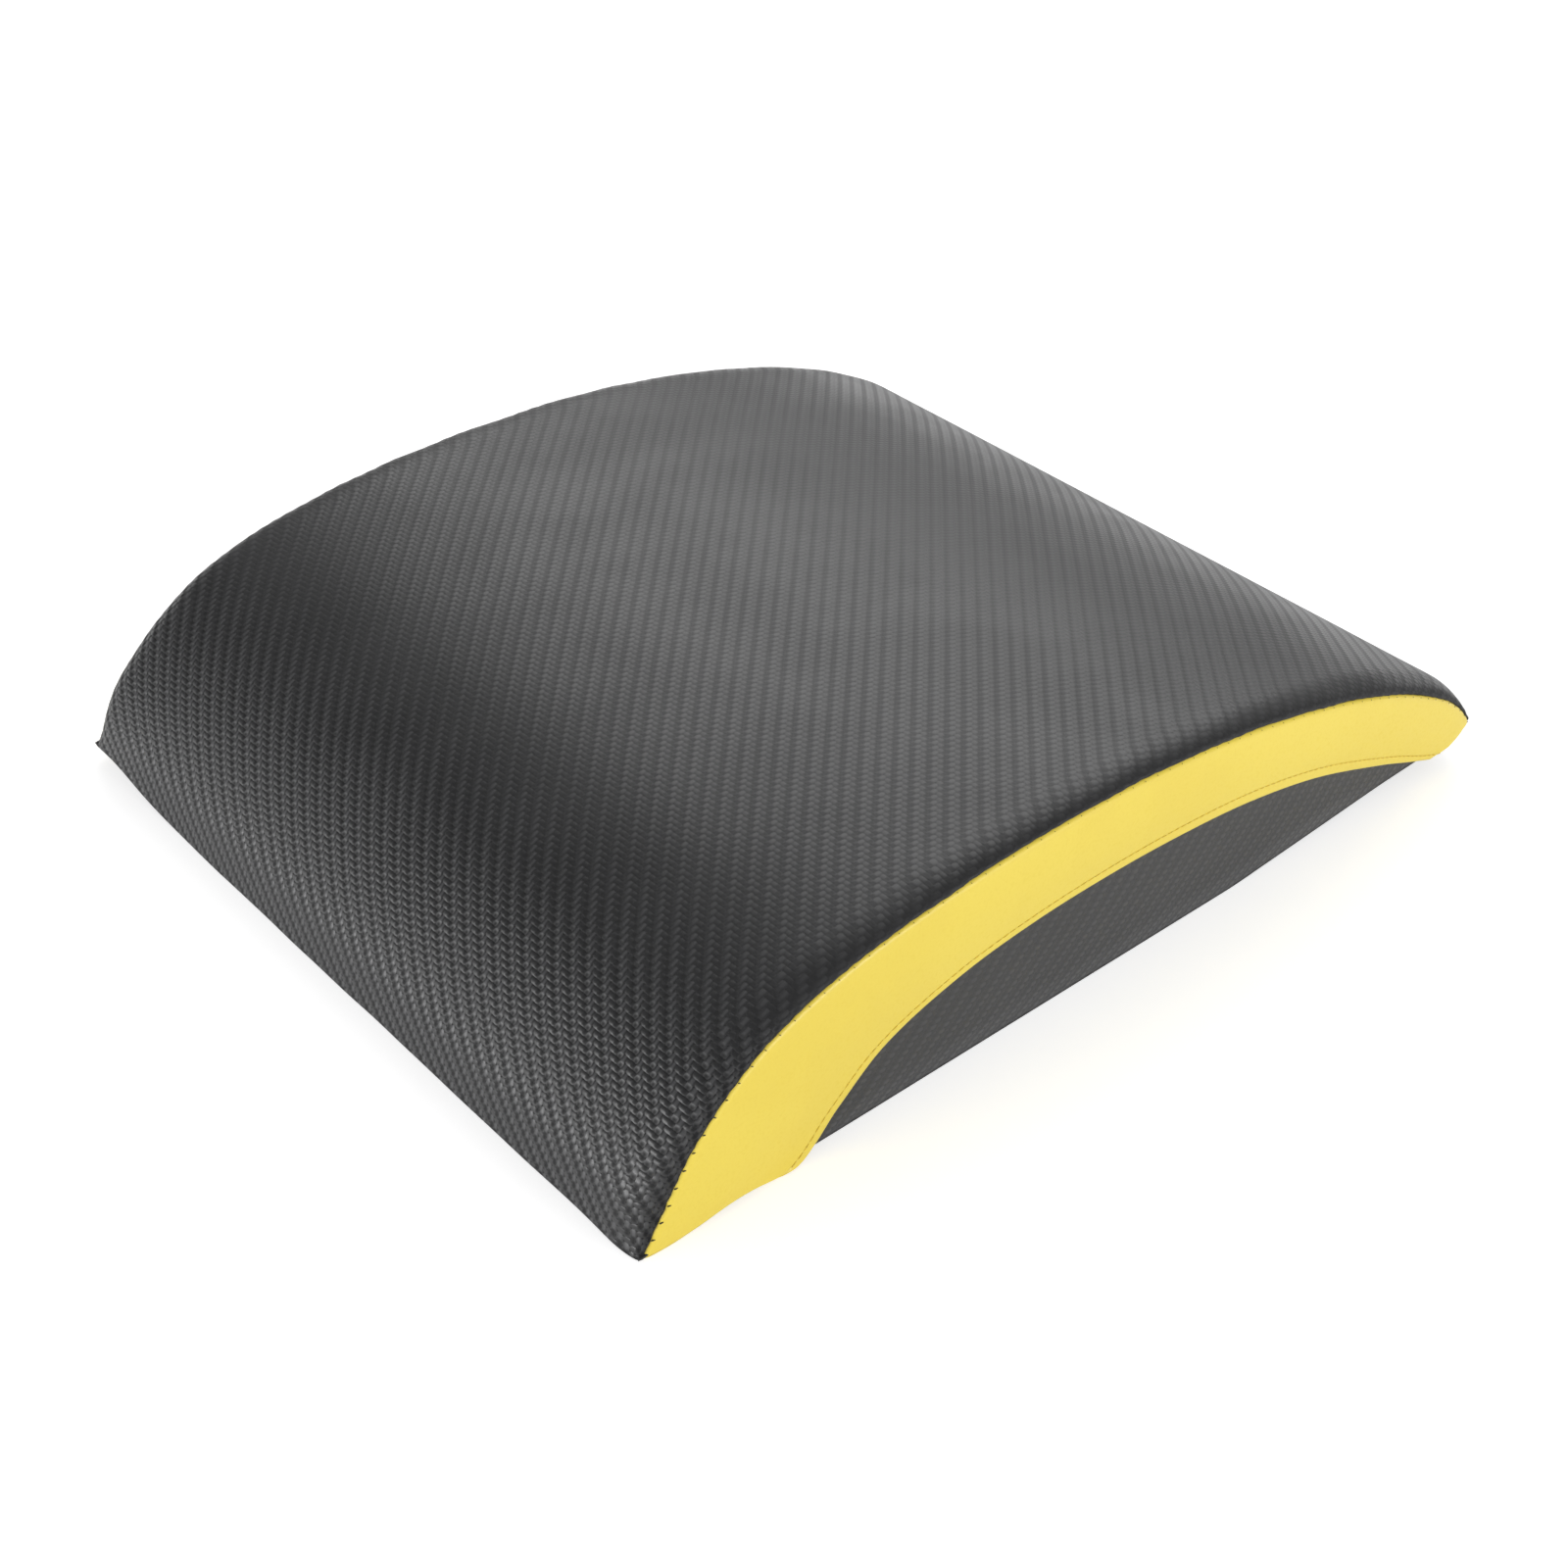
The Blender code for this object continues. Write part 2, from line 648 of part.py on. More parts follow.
def slider_side():
    """One side of the slider: a narrow tail, where the closed chain leaves, and a wide mouth."""
    shares = SLIDER_SIDE_SHARES
    return [(SLIDER_TAIL_HALF + SLIDER_FLARE * x, SLIDER_LENGTH * y) for x, y in shares]


def make_slider(metal):
    """Two plates held apart by the diamond, with side flanges and a bail for the pull tab."""
    side = slider_side()
    tail = (SLIDER_TAIL_HALF - SLIDER_CHAMFER, -SLIDER_LENGTH / 2)
    mouth = (SLIDER_HALF - SLIDER_CHAMFER, SLIDER_LENGTH / 2)
    outline = mirrored([tail, *side, mouth])
    plate_z = SLIDER_OUTER - SLIDER_PLATE / 2
    centre = (0, SLIDER_Y, TAPE_Z - plate_z)
    slider = sheet("zip_slider", [outline], SLIDER_PLATE, "XY", centre, metal)
    centre = (0, SLIDER_Y, TAPE_Z + plate_z)
    back = sheet("slider_back_plate", [outline], SLIDER_PLATE, "XY", centre, metal, CUTTERS)
    pieces = [make_diamond(metal), back, make_bail(metal)]
    jaw = TAPE / 2 + GAP
    height = SLIDER_GAP - jaw + SLIDER_PLATE / 2
    for level, level_name in ((-1, "front"), (1, "back")):
        for across, across_name in ((-1, "left"), (1, "right")):
            edge = [(across * x, y) for x, y in side]
            strip = edge + [(x - across * FLANGE_WIDTH, y) for x, y in reversed(edge)]
            centre = (0, SLIDER_Y, TAPE_Z + level * (jaw + height / 2))
            name = f"slider_flange_{level_name}_{across_name}"
            pieces.append(sheet(name, [strip], height, "XY", centre, metal, CUTTERS))
    return combine(slider, pieces, "UNION")


def make_diamond(metal):
    """The wedge in the slider's mouth, which holds the plates apart and parts the two rows."""
    wedge = [(x * DIAMOND_WIDTH, y * DIAMOND_LENGTH) for x, y in DIAMOND_SHARES]
    height = 2 * SLIDER_GAP + SLIDER_PLATE
    centre = (0, CHAIN_TOP + 2 * GAP, TAPE_Z)
    return sheet("slider_diamond", [wedge], height, "XY", centre, metal, CUTTERS)


def make_bail(metal):
    """The bridge under the slider that the pull tab's bar turns in."""
    inner = BAIL_INNER_LENGTH / 2
    outer = inner + BAIL_WIRE
    root = BAIL_DEPTH + SLIDER_PLATE / 2
    foot = -BAIL_DEPTH - BAIL_WIRE
    chamfer = BAIL_WIRE / 2
    half = [(inner, root), (outer, root), (outer, foot + chamfer), (outer - chamfer, foot)]
    outline = mirrored(half) + [(-inner, -BAIL_DEPTH), (inner, -BAIL_DEPTH)]
    centre = (0, SLIDER_Y, PIVOT_Z)
    return sheet("slider_bail", [outline], BAIL_WIDTH, "YZ", centre, metal, CUTTERS)


def make_pull_tab(metal):
    """A tapered blade with a window round the bail's leg, a grip hole and a round bar to turn on."""
    leg_reach = hypot(BAIL_INNER_LENGTH / 2 + BAIL_WIRE, BAIL_DEPTH + BAIL_WIRE)
    window_end = leg_reach + GAP
    window_half = BAIL_WIDTH / 2 + EYE_CLEARANCE
    eye_half = window_half + TAB_RAIL
    blade = [(eye_half, 0), (eye_half, -window_end), *rounded_end(TAB_WIDTH / 2, -TAB_LENGTH)]
    blade += [(-eye_half, -window_end), (-eye_half, 0)]
    window = mirrored([(window_half, -PIVOT_RADIUS / 2), (window_half, -window_end)])
    hole_end = -TAB_LENGTH + (TAB_WIDTH - TAB_HOLE_WIDTH) / 2
    near = rounded_end(TAB_HOLE_WIDTH / 2, hole_end)
    far = [(-x, 2 * hole_end + TAB_HOLE_LENGTH - y) for x, y in near]
    centre = (0, SLIDER_Y, PIVOT_Z)
    tab = sheet("zip_pull_tab", [blade, window, near + far], TAB_THICKNESS, "XY", centre, metal)
    mesh = bmesh.new()
    bmesh.ops.create_cone(
        mesh,
        cap_ends=True,
        segments=PIVOT_SIDES,
        radius1=PIVOT_RADIUS,
        radius2=PIVOT_RADIUS,
        depth=2 * eye_half,
    )
    bar = add_mesh("pull_tab_bar", mesh, metal, CUTTERS)
    bar.rotation_euler = (0, pi / 2, 0)
    bar.location = centre
    return combine(tab, [bar], "UNION")


def axis_empty(name, location):
    """An empty on a joint's axis, for a moving piece to hang on."""
    axis = bpy.data.objects.new(name, None)
    axis.empty_display_size = SLIDER_LENGTH
    axis.location = location
    bpy.data.collections[COLLECTION].objects.link(axis)
    return axis


def hang_zip_pull(slider, tab):
    """The slider runs along the chain, and the tab turns on the slider."""
    slider_axis = axis_empty("slider_axis", (0, SLIDER_Y, TAPE_Z))
    tab_axis = axis_empty("pull_tab_axis", (0, SLIDER_Y, PIVOT_Z))
    bpy.context.view_layer.update()
    attach(slider, slider_axis)
    attach(tab, tab_axis)
    attach(tab_axis, slider_axis)


def main():
    for thing in list(bpy.data.objects):
        bpy.data.objects.remove(thing)
    collection(COLLECTION)
    collection(CUTTERS)
    carbon = material("carbon_vinyl", (0.055, 0.055, 0.057), 0.5)
    yellow = material("yellow_vinyl", (0.86, 0.68, 0.13), 0.42)
    black = material("base_vinyl", (0.03, 0.03, 0.032), 0.6)
    foam = material("foam", (0.16, 0.16, 0.17), 0.95)
    tape = material("zip_tape", (0.02, 0.02, 0.02), 0.85)
    plastic = material("zip_plastic", (0.03, 0.03, 0.03), 0.4)
    metal = material("zip_metal", (0.05, 0.05, 0.055), 0.35, 1.0)
    make_foam_core(foam)
    make_top_panel(carbon)
    for name, direction in (("right", -1), ("left", 1)):
        make_side(name, direction, carbon, yellow)
        make_end_tab(name, direction, tape)
    for name, direction in (("front", -1), ("rear", 1)):
        make_base_panel(name, direction, black)
        make_zip_side(name, direction, tape, plastic)
    make_bottom_stop(metal)
    hang_zip_pull(make_slider(metal), make_pull_tab(metal))


main()
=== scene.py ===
"""Ab mat: its sewn vinyl cover, yellow bands, foam pad, zip and studio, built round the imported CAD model.

The steep front is at -X, the thin nose at +X, the width runs along Y and the floor is z = 0. Each piece
of the cover follows the same side view as the CAD: an arch from the toe over the crest to the seam under
the nose, a sole below it, and the hem of the yellow band. Lengths are metres.
"""

import json
from itertools import pairwise
from math import atan2, cos, pi, radians, sin

import bmesh
import bpy
import numpy as np
from mathutils import Matrix, Vector, kdtree, noise
from mathutils.geometry import interpolate_bezier


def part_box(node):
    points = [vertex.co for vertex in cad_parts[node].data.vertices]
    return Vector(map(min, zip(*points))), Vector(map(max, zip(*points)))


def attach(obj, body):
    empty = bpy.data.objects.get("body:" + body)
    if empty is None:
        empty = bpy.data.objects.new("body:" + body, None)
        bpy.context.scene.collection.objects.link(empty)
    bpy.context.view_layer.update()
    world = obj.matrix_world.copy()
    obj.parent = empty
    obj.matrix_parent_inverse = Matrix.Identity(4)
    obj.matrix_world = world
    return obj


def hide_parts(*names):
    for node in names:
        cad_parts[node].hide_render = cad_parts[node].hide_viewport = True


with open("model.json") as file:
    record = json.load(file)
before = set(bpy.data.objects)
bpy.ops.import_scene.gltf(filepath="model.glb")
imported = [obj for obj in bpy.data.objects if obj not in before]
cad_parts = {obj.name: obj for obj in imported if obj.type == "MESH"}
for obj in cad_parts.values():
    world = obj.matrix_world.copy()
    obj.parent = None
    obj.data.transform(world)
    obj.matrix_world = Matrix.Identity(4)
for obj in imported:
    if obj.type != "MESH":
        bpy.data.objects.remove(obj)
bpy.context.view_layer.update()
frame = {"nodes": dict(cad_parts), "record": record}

bl_info = {
    "name": "Ab mat",
    "version": (1, 0, 0),
    "blender": (4, 5, 0),
    "location": "3D View > Sidebar > Ab mat",
    "description": "Arched exercise mat with a sewn vinyl cover and a zip, round its CAD model",
    "category": "Add Mesh",
}

MM = 0.001
SIDES = (("right", -1), ("left", 1))

# Whole pad, as the CAD has it
TOP_LOW, TOP_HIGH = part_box("top_panel")
LENGTH = TOP_HIGH.x - TOP_LOW.x
SEAM_WIDTH = TOP_HIGH.y - TOP_LOW.y
HEIGHT = TOP_HIGH.z
HALF_LENGTH = LENGTH / 2
HALF_SEAM = SEAM_WIDTH / 2
COVER = 1.2 * MM
GAP = 0.3 * MM
SKIN_LIFT = 0.4 * MM
SHEET = COVER + GAP
FOLD = 2 * COVER
ROLL_WIDTH = 11 * MM
ROLL_DROP = 8 * MM
INWARD_REACH = 8 * MM
FLAT_HALF = HALF_SEAM - ROLL_WIDTH
BAND_CROWN = 2.1 * MM
BAND_SEAM_STEP = 0.3 * MM
BAND_SEAT = HALF_SEAM - GAP - BAND_SEAM_STEP - COVER
PANEL_OUTER = BAND_SEAT - GAP

# Base round the zip, as the CAD has it
ZIP_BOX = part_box("zip_slider")
TAPE_LOW, TAPE_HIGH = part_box("zip_tape_rear")
SLOT_HALF = TAPE_HIGH.y - 6 * MM
SLOT_HALF_WIDTH = ZIP_BOX[1].x + 0.5 * MM
SLOT_CLOSING = 5 * MM
FOLD_END = SLOT_HALF_WIDTH + 10 * MM
DIP = TAPE_LOW.z - GAP - FOLD
DIP_FLAT = max(TAPE_HIGH.x, FOLD_END) + GAP + 3.5 * MM
DIP_RAMP = 18 * MM
DIP_REACH = DIP_FLAT + DIP_RAMP
FADE_END = PANEL_OUTER - 6 * MM
DIP_FADE = 12 * MM
BASE_SEAM = 0.04 * MM
BASE_INSET = 0.45 * MM
BASE_TOE_ROUND = 0.8 * MM
ZIP_SEAMS = (3.0 * MM, 7.0 * MM)
ZIP_SEAM_POINTS = 60

FLOOR_LIFT = 0.2 * MM
PANEL_FOOT = 0.15 * MM
STITCH_SHARE = 0.82

# Curls of the base's edges: lift, place along the seam, reach along it and reach inwards
TOE_CURL = (6.9 * MM, 13 * MM, 26 * MM, 22 * MM)
HEM_CURL = (2.4 * MM, 35 * MM, 19 * MM, 13 * MM)
CURL_FADE = 17 * MM

# Side view: shares of half the length and of the height
ARCH_SHARES = (
    (-1.000, 0.000), (-0.980, 0.248), (-0.903, 0.509), (-0.787, 0.724), (-0.630, 0.870), (-0.420, 0.959),
    (-0.210, 0.995), (0.000, 0.998), (0.210, 0.961), (0.420, 0.877), (0.630, 0.747), (0.787, 0.600),
    (0.924, 0.412), (1.000, 0.195), (0.985, 0.130), (0.955, 0.096),
)
SOLE_SHARES = (
    (0.866, 0.082), (0.735, 0.068), (0.577, 0.041), (0.420, 0.015), (0.315, 0.000), (-1.000, 0.000),
)
HEM_SHARES = (
    (-0.715, 0.000), (-0.686, 0.016), (-0.652, 0.072), (-0.614, 0.168), (-0.520, 0.353), (-0.370, 0.475),
    (-0.210, 0.530), (-0.040, 0.545), (0.136, 0.532), (0.315, 0.490), (0.500, 0.400), (0.698, 0.244),
    (0.800, 0.150), (0.871, 0.085),
)

# How far the rolled edge has dropped at its seam: share of the arch's length, share of ROLL_DROP
ROLL_DROP_SHARES = (
    (0.000, 0.25), (0.035, 1.00), (0.100, 0.82), (0.170, 0.54), (0.250, 0.42), (0.450, 0.40),
    (0.600, 0.49), (0.750, 0.55), (0.880, 0.62), (0.930, 0.58), (0.962, 0.42), (1.000, 0.38),
)

# Section of the band between its hem and its seam: share of its width, share of its crown
BAND_SECTION_SHARES = ((0.00, 0.50), (0.15, 0.62), (0.35, 0.88), (0.60, 1.00), (0.82, 0.82), (1.00, 0.45))

SPAN_STEPS = 40
ARCH_ROWS = 208
BEND_SHARE = 0.35


# Side view of the pad


def smooth(points):
    """A smooth curve through points, as a polyline: Bezier spans with Catmull-Rom tangents."""
    points = [Vector((x, z, 0)) for x, z in points]
    neighbours = zip(points[:1] + points, points[1:] + points[-1:])
    tangents = [(after - before).normalized() for before, after in neighbours]
    curve = [points[0]]
    for (start, leaving), (end, arriving) in pairwise(zip(points, tangents)):
        reach = (end - start).length / 3
        handles = start + leaving * reach, end - arriving * reach
        curve += interpolate_bezier(start, *handles, end, SPAN_STEPS + 1)[1:]
    return np.array(curve)[:, :2]


def scaled(shares):
    return [(x * HALF_LENGTH, z * HEIGHT) for x, z in shares]


def side_outline():
    """The pad's arch and its sole in side view, fitted to the pad's length and height."""
    curve = smooth(scaled(ARCH_SHARES + SOLE_SHARES))
    curve[:, 1] = np.maximum(curve[:, 1], 0)
    low, high = curve.min(axis=0), curve.max(axis=0)
    curve = (curve - low) / (high - low) * (LENGTH, HEIGHT) - (HALF_LENGTH, 0)
    seam = SPAN_STEPS * (len(ARCH_SHARES) - 1)
    return curve[: seam + 1], curve[seam:]


def step_lengths(curve):
    return np.linalg.norm(np.diff(curve, axis=0), axis=1)


def run_shares(curve):
    steps = step_lengths(curve)
    return np.append(0, np.cumsum(steps)) / steps.sum()


def read_along(curve, values, shares):
    """Pairs given for each point of a polyline, read at shares of its length."""
    run = run_shares(curve)
    return np.column_stack([np.interp(shares, run, column) for column in values.T])


def bend_stations(curve, count):
    """Shares of a polyline's length, closer together where it bends."""
    angle = np.unwrap([atan2(z, x) for x, z in np.gradient(curve, axis=0)])
    turned = np.append(0, np.cumsum(np.abs(np.diff(angle))))
    run = run_shares(curve)
    return np.interp(np.linspace(0, 1, count), (1 - BEND_SHARE) * run + BEND_SHARE * turned / turned[-1], run)


def inward_directions(curve):
    """Unit vectors into the pad, which turn early round the nose so that inner layers don't fold."""
    run = run_shares(curve)
    reach = np.minimum(INWARD_REACH / step_lengths(curve).sum(), np.minimum(run, 1 - run))
    reach = np.maximum(reach, run[1])
    ahead = read_along(curve, curve, np.minimum(run + reach, 1))
    behind = read_along(curve, curve, np.maximum(run - reach, 0))
    across = (ahead - behind) @ np.array(((0, -1), (1, 0)))
    return across / np.linalg.norm(across, axis=1)[:, None]


ARCH, SOLE = side_outline()
ARCH_LENGTH = step_lengths(ARCH).sum()
ARCH_INWARD = inward_directions(ARCH)
HEM = smooth(scaled(HEM_SHARES))
STATIONS = bend_stations(ARCH, ARCH_ROWS)


def sole(x):
    """Height of the underside above the floor."""
    return np.interp(x, *SOLE[::-1].T)


def arch(shares, depths):
    """Points of the arch moved in by depths."""
    inward = read_along(ARCH, ARCH_INWARD, shares)
    return read_along(ARCH, ARCH, shares) + inward * np.reshape(depths, (-1, 1))


def above_sole(points, lift):
    points = np.array(points)
    points[:, 1] = np.maximum(points[:, 1], sole(points[:, 0]) + lift)
    return points


def roll_drop(shares):
    """How far the top cover has dropped where it meets the side seam."""
    return ROLL_DROP * np.interp(shares, *np.array(ROLL_DROP_SHARES).T)


def eased(share):
    share = np.clip(share, 0, 1)
    return share**2 * (3 - 2 * share)


def fading(distance, reach):
    """1 at no distance, less and less beyond it."""
    return np.exp(-distance / reach)


def bell(distance, reach):
    """1 at no distance, falling off smoothly on both sides."""
    return np.exp(-((distance / reach) ** 2))


def rounded(distance, radius, least=0):
    """Height of a rounded edge at a distance from it, from 0 to 1 at its radius."""
    return np.sqrt(np.clip(1 - (1 - np.clip(distance / radius, least, 1)) ** 2, 0, 1))


def dip(x):
    """How far the base is drawn up beside the zip."""
    return DIP * eased((DIP_REACH - x) / DIP_RAMP)


def unevenness(points, size, seed):
    """Smooth noise between -1 and 1 at points given in metres."""
    offset = Vector((seed * 7.3, seed * 3.1, seed * 5.7))
    return np.array([noise.noise(Vector(point) / size + offset) for point in points])


def curl(size, along, inward):
    lift, place, reach, depth = size
    return lift * bell(along - place, reach) * bell(inward, depth)


def curled(points):
    """Points with the base's edges drawn up by their seams: one toe corner, and beside each hem's foot."""
    x, y, z = np.moveaxis(np.asarray(points, float), -1, 0)
    from_toe = HALF_LENGTH + x
    corner = curl(TOE_CURL, HALF_SEAM - y, from_toe)
    side = curl(HEM_CURL, from_toe, np.clip(HALF_SEAM - np.abs(y), 0, None))
    lift = np.maximum(corner, side) * fading(np.clip(z, 0, None), CURL_FADE)
    return np.stack([x, y, z + lift], axis=-1)


# Mesh helpers


def linked(name, data):
    """A new object in the scene."""
    made = bpy.data.objects.new(name, data)
    bpy.context.scene.collection.objects.link(made)
    return made


def signed_volume(points, faces):
    corners = points[np.array([(a, b, c, a, c, d) for a, b, c, d in faces]).reshape(-1, 3)]
    return np.einsum("ij,ij->", corners[:, 0], np.cross(corners[:, 1], corners[:, 2]))


def rim_of(rows, columns):
    """Indices round the edge of a grid, in order."""
    index = np.arange(rows * columns).reshape(rows, columns)
    return [*index[0], *index[1:, -1], *index[-1, -2::-1], *index[-2:0:-1, 0]]


def grid_faces(rows, columns, start=0):
    index = np.arange(rows * columns).reshape(rows, columns) + start
    quads = np.stack([index[:-1, :-1], index[:-1, 1:], index[1:, 1:], index[1:, :-1]], axis=-1)
    return quads.reshape(-1, 4)


def give_uv(piece, name, values):
    """Writes a UV map from one pair for each point."""
    data = piece.data
    corners = np.empty(len(data.loops), np.int32)
    data.loops.foreach_get("vertex_index", corners)
    data.uv_layers.new(name=name).uv.foreach_set("vector", np.array(values, np.float32)[corners].ravel())


def give_values(data, name, kind, field, values):
    attribute = data.attributes.new(name, kind, "POINT")
    attribute.data.foreach_set(field, np.array(values, np.float32).ravel())


def settle(piece, slot, *nodes):
    """Hangs a finished piece on the root body, in place of its CAD nodes."""
    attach(piece, "root")
    if nodes:
        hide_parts(*nodes)
    return piece


def closed_sheet(name, node, slot, faces, cloth, edge):
    """A sheet with thickness from its outer and inner grids of points, joined round their rims.

    It stands for a CAD node. cloth holds each grid point's place on the flat cloth, and edge how near it
    is to a seam.
    """
    rows, columns = faces[0].shape[:2]
    count = rows * columns
    points = curled(np.concatenate([face.reshape(-1, 3) for face in faces]))
    rim = rim_of(rows, columns)
    # The rim runs the other way round from the outer grid's faces.
    sides = [(a + count, b + count, b, a) for a, b in zip(rim, rim[1:] + rim[:1])]
    quads = np.concatenate([grid_faces(rows, columns), grid_faces(rows, columns, count)[:, ::-1], sides])
    if signed_volume(points, quads) < 0:
        quads = quads[:, ::-1]
    data = bpy.data.meshes.new(name)
    data.from_pydata(points.tolist(), [], quads.tolist())
    data.update()
    data.shade_smooth()
    data.materials.append(finish(slot))
    piece = linked(name, data)
    give_uv(piece, "cloth", np.tile(cloth.reshape(-1, 2), (2, 1)))
    give_values(data, "edge", "FLOAT", "value", np.tile(edge.ravel(), 2))
    return settle(piece, slot, node)


def grid_normals(grid, outward):
    """Unit normals of a grid of points, turned to the side of outward."""
    along, across = np.gradient(grid, axis=0), np.gradient(grid, axis=1)
    normals = np.cross(along, across)
    normals /= np.maximum(np.linalg.norm(normals, axis=2, keepdims=True), 1e-12)
    return normals * np.sign((normals * outward).sum())


# Node helpers


class Board:
    """Adds nodes to a tree and wires them."""

    def __init__(self, tree):
        self.tree = tree

    def add(self, kind, inputs=None, **settings):
        made = self.tree.nodes.new(kind)
        made.location.x = 180 * (len(self.tree.nodes) % 12)
        made.location.y = -220 * (len(self.tree.nodes) // 12)
        for name, value in settings.items():
            setattr(made, name, value)
        for socket, value in (inputs or {}).items():
            self.feed(made.inputs[socket], value)
        return made

    def feed(self, socket, value):
        if isinstance(value, bpy.types.NodeSocket):
            self.tree.links.new(value, socket)
        else:
            socket.default_value = value

    def math(self, operation, *values, **settings):
        return self.add("ShaderNodeMath", dict(enumerate(values)), operation=operation, **settings).outputs[0]

    def times(self, value, factor):
        return self.math("MULTIPLY", value, factor)

    def times_plus(self, value, factor, added):
        return self.math("MULTIPLY_ADD", value, factor, added)

    def larger(self, one, other):
        return self.math("MAXIMUM", one, other)

    def vector(self, operation, inputs, output="Vector"):
        return self.add("ShaderNodeVectorMath", inputs, operation=operation).outputs[output]

    def divided(self, vector, size):
        return self.vector("SCALE", {0: vector, "Scale": self.math("DIVIDE", 1.0, size)})

    def ramp(self, value, low, high, to_low=0.0, to_high=1.0):
        inputs = {"Value": value, "From Min": low, "From Max": high, "To Min": to_low, "To Max": to_high}
        return self.add("ShaderNodeMapRange", inputs, interpolation_type="SMOOTHSTEP").outputs["Result"]

    def colours(self, share, low, high):
        return self.add("ShaderNodeMix", {0: share, 6: low, 7: high}, data_type="RGBA").outputs[2]

    def shaded(self, colour, amount):
        """A colour times a grey value."""
        inputs = {0: 1.0, 6: colour, 7: amount}
        return self.add("ShaderNodeMix", inputs, data_type="RGBA", blend_type="MULTIPLY").outputs[2]

    def noise(self, vector, scale, detail=2.0, roughness=0.5, output="Fac"):
        inputs = {"Vector": vector, "Scale": scale, "Detail": detail, "Roughness": roughness}
        return self.add("ShaderNodeTexNoise", inputs).outputs[output]

    def parts(self, vector):
        return self.add("ShaderNodeSeparateXYZ", {0: vector}).outputs

    def group(self, name, **inputs):
        made = self.add("ShaderNodeGroup")
        made.node_tree = node_group(name)
        for label, value in inputs.items():
            self.feed(made.inputs[label.replace("_", " ")], value)
        return made.outputs


def node_group(name):
    """A node group that is built once and placed wherever it is used, each time with its own values."""
    tree = bpy.data.node_groups.get(name)
    if tree:
        return tree
    build, kind, output_kind, inputs = NODE_GROUPS[name]
    tree = bpy.data.node_groups.new(name, kind + "NodeTree")
    for label, socket_kind, value in inputs:
        socket = tree.interface.new_socket(label, in_out="INPUT", socket_type="NodeSocket" + socket_kind)
        if value is not None:
            socket.default_value = value
    board = Board(tree)
    results = build(board, board.add("NodeGroupInput").outputs)
    for label in results:
        tree.interface.new_socket(label, in_out="OUTPUT", socket_type="NodeSocket" + output_kind)
    leave = board.add("NodeGroupOutput").inputs
    for label, value in results.items():
        board.feed(leave[label], value)
    return tree


def twill_weave(board, entry):
    """Two-and-two twill: yarns along the cloth's u and v float over two and under two, in diagonals."""
    along, across, _ = board.parts(board.divided(entry["Cloth"], entry["Yarn Pitch"]))
    column, row = board.math("FLOOR", along), board.math("FLOOR", across)

    def dome(value):
        off = board.times_plus(board.math("FRACT", value), 2.0, -1.0)
        return board.math("SUBTRACT", 1.0, board.times(off, off))

    phase = board.times(board.math("SUBTRACT", along, row), pi / 2)
    lifted = board.times(board.math("SINE", phase), 0.7)
    lowered = board.math("COSINE", board.times(board.math("SUBTRACT", across, column), pi / 2))
    warp = board.times_plus(dome(across), 0.45, lifted)
    weft = board.times_plus(dome(along), 0.45, board.times(lowered, -0.7))
    over = board.ramp(board.math("SUBTRACT", warp, weft), -0.08, 0.08)
    dive = board.ramp(board.math("COSINE", phase), 0.0, 0.85)
    pit = board.times(dive, board.math("POWER", dome(across), 0.7))
    height = board.math("SMOOTH_MAX", warp, weft, 0.15)
    return {
        "Height": board.times_plus(pit, -0.5, height),
        "Warp": over,
        "Ridge": board.times(over, board.ramp(dome(across), 0.55, 0.98)),
        "Hollow": board.larger(pit, board.ramp(height, 0.6, 0.2)),
    }


def vinyl_grain(board, entry):
    """The fine leather grain of coated vinyl, with shallow creases."""
    place = board.divided(entry["Place"], entry["Grain Size"])
    bent = board.vector("ADD", {0: board.noise(place, 0.7, 1.0, output="Color"), 1: place})
    cells = board.add("ShaderNodeTexVoronoi", {"Vector": bent, "Scale": 1.0}, feature="SMOOTH_F1")
    distance = cells.outputs["Distance"]
    return {
        "Height": board.times_plus(board.noise(place, 0.35, 3.0), 0.5, board.ramp(distance, 0.75, 0.1)),
        "Crease": board.ramp(distance, 0.35, 0.8),
    }


def use_and_wear(board, entry):
    """Use: cloudy handling marks over the whole piece, and rubbing beside its seams."""
    specks = board.ramp(board.noise(entry["Place"], 900.0, 2.0, 0.6), 0.42, 0.62)
    beside_seam = board.times(entry["Edge"], specks)
    return {
        "Clouds": board.ramp(board.noise(entry["Place"], 22.0, 4.0, 0.6), 0.3, 0.7),
        "Rubbed": board.math("MULTIPLY", beside_seam, entry["Amount"], use_clamp=True),
    }


def thread_ply(board, entry):
    """Two-ply thread: turns that run slantwise round each stitch."""
    along, across, up = board.parts(entry["Stitch"])
    slant = board.times_plus(across, 0.9, board.times(along, entry["Turns"]))
    turned = board.math("SINE", board.times(board.math("ADD", slant, up), pi))
    return {"Height": turned, "Shade": board.ramp(turned, -1.0, 0.2, 0.55, 1.0)}


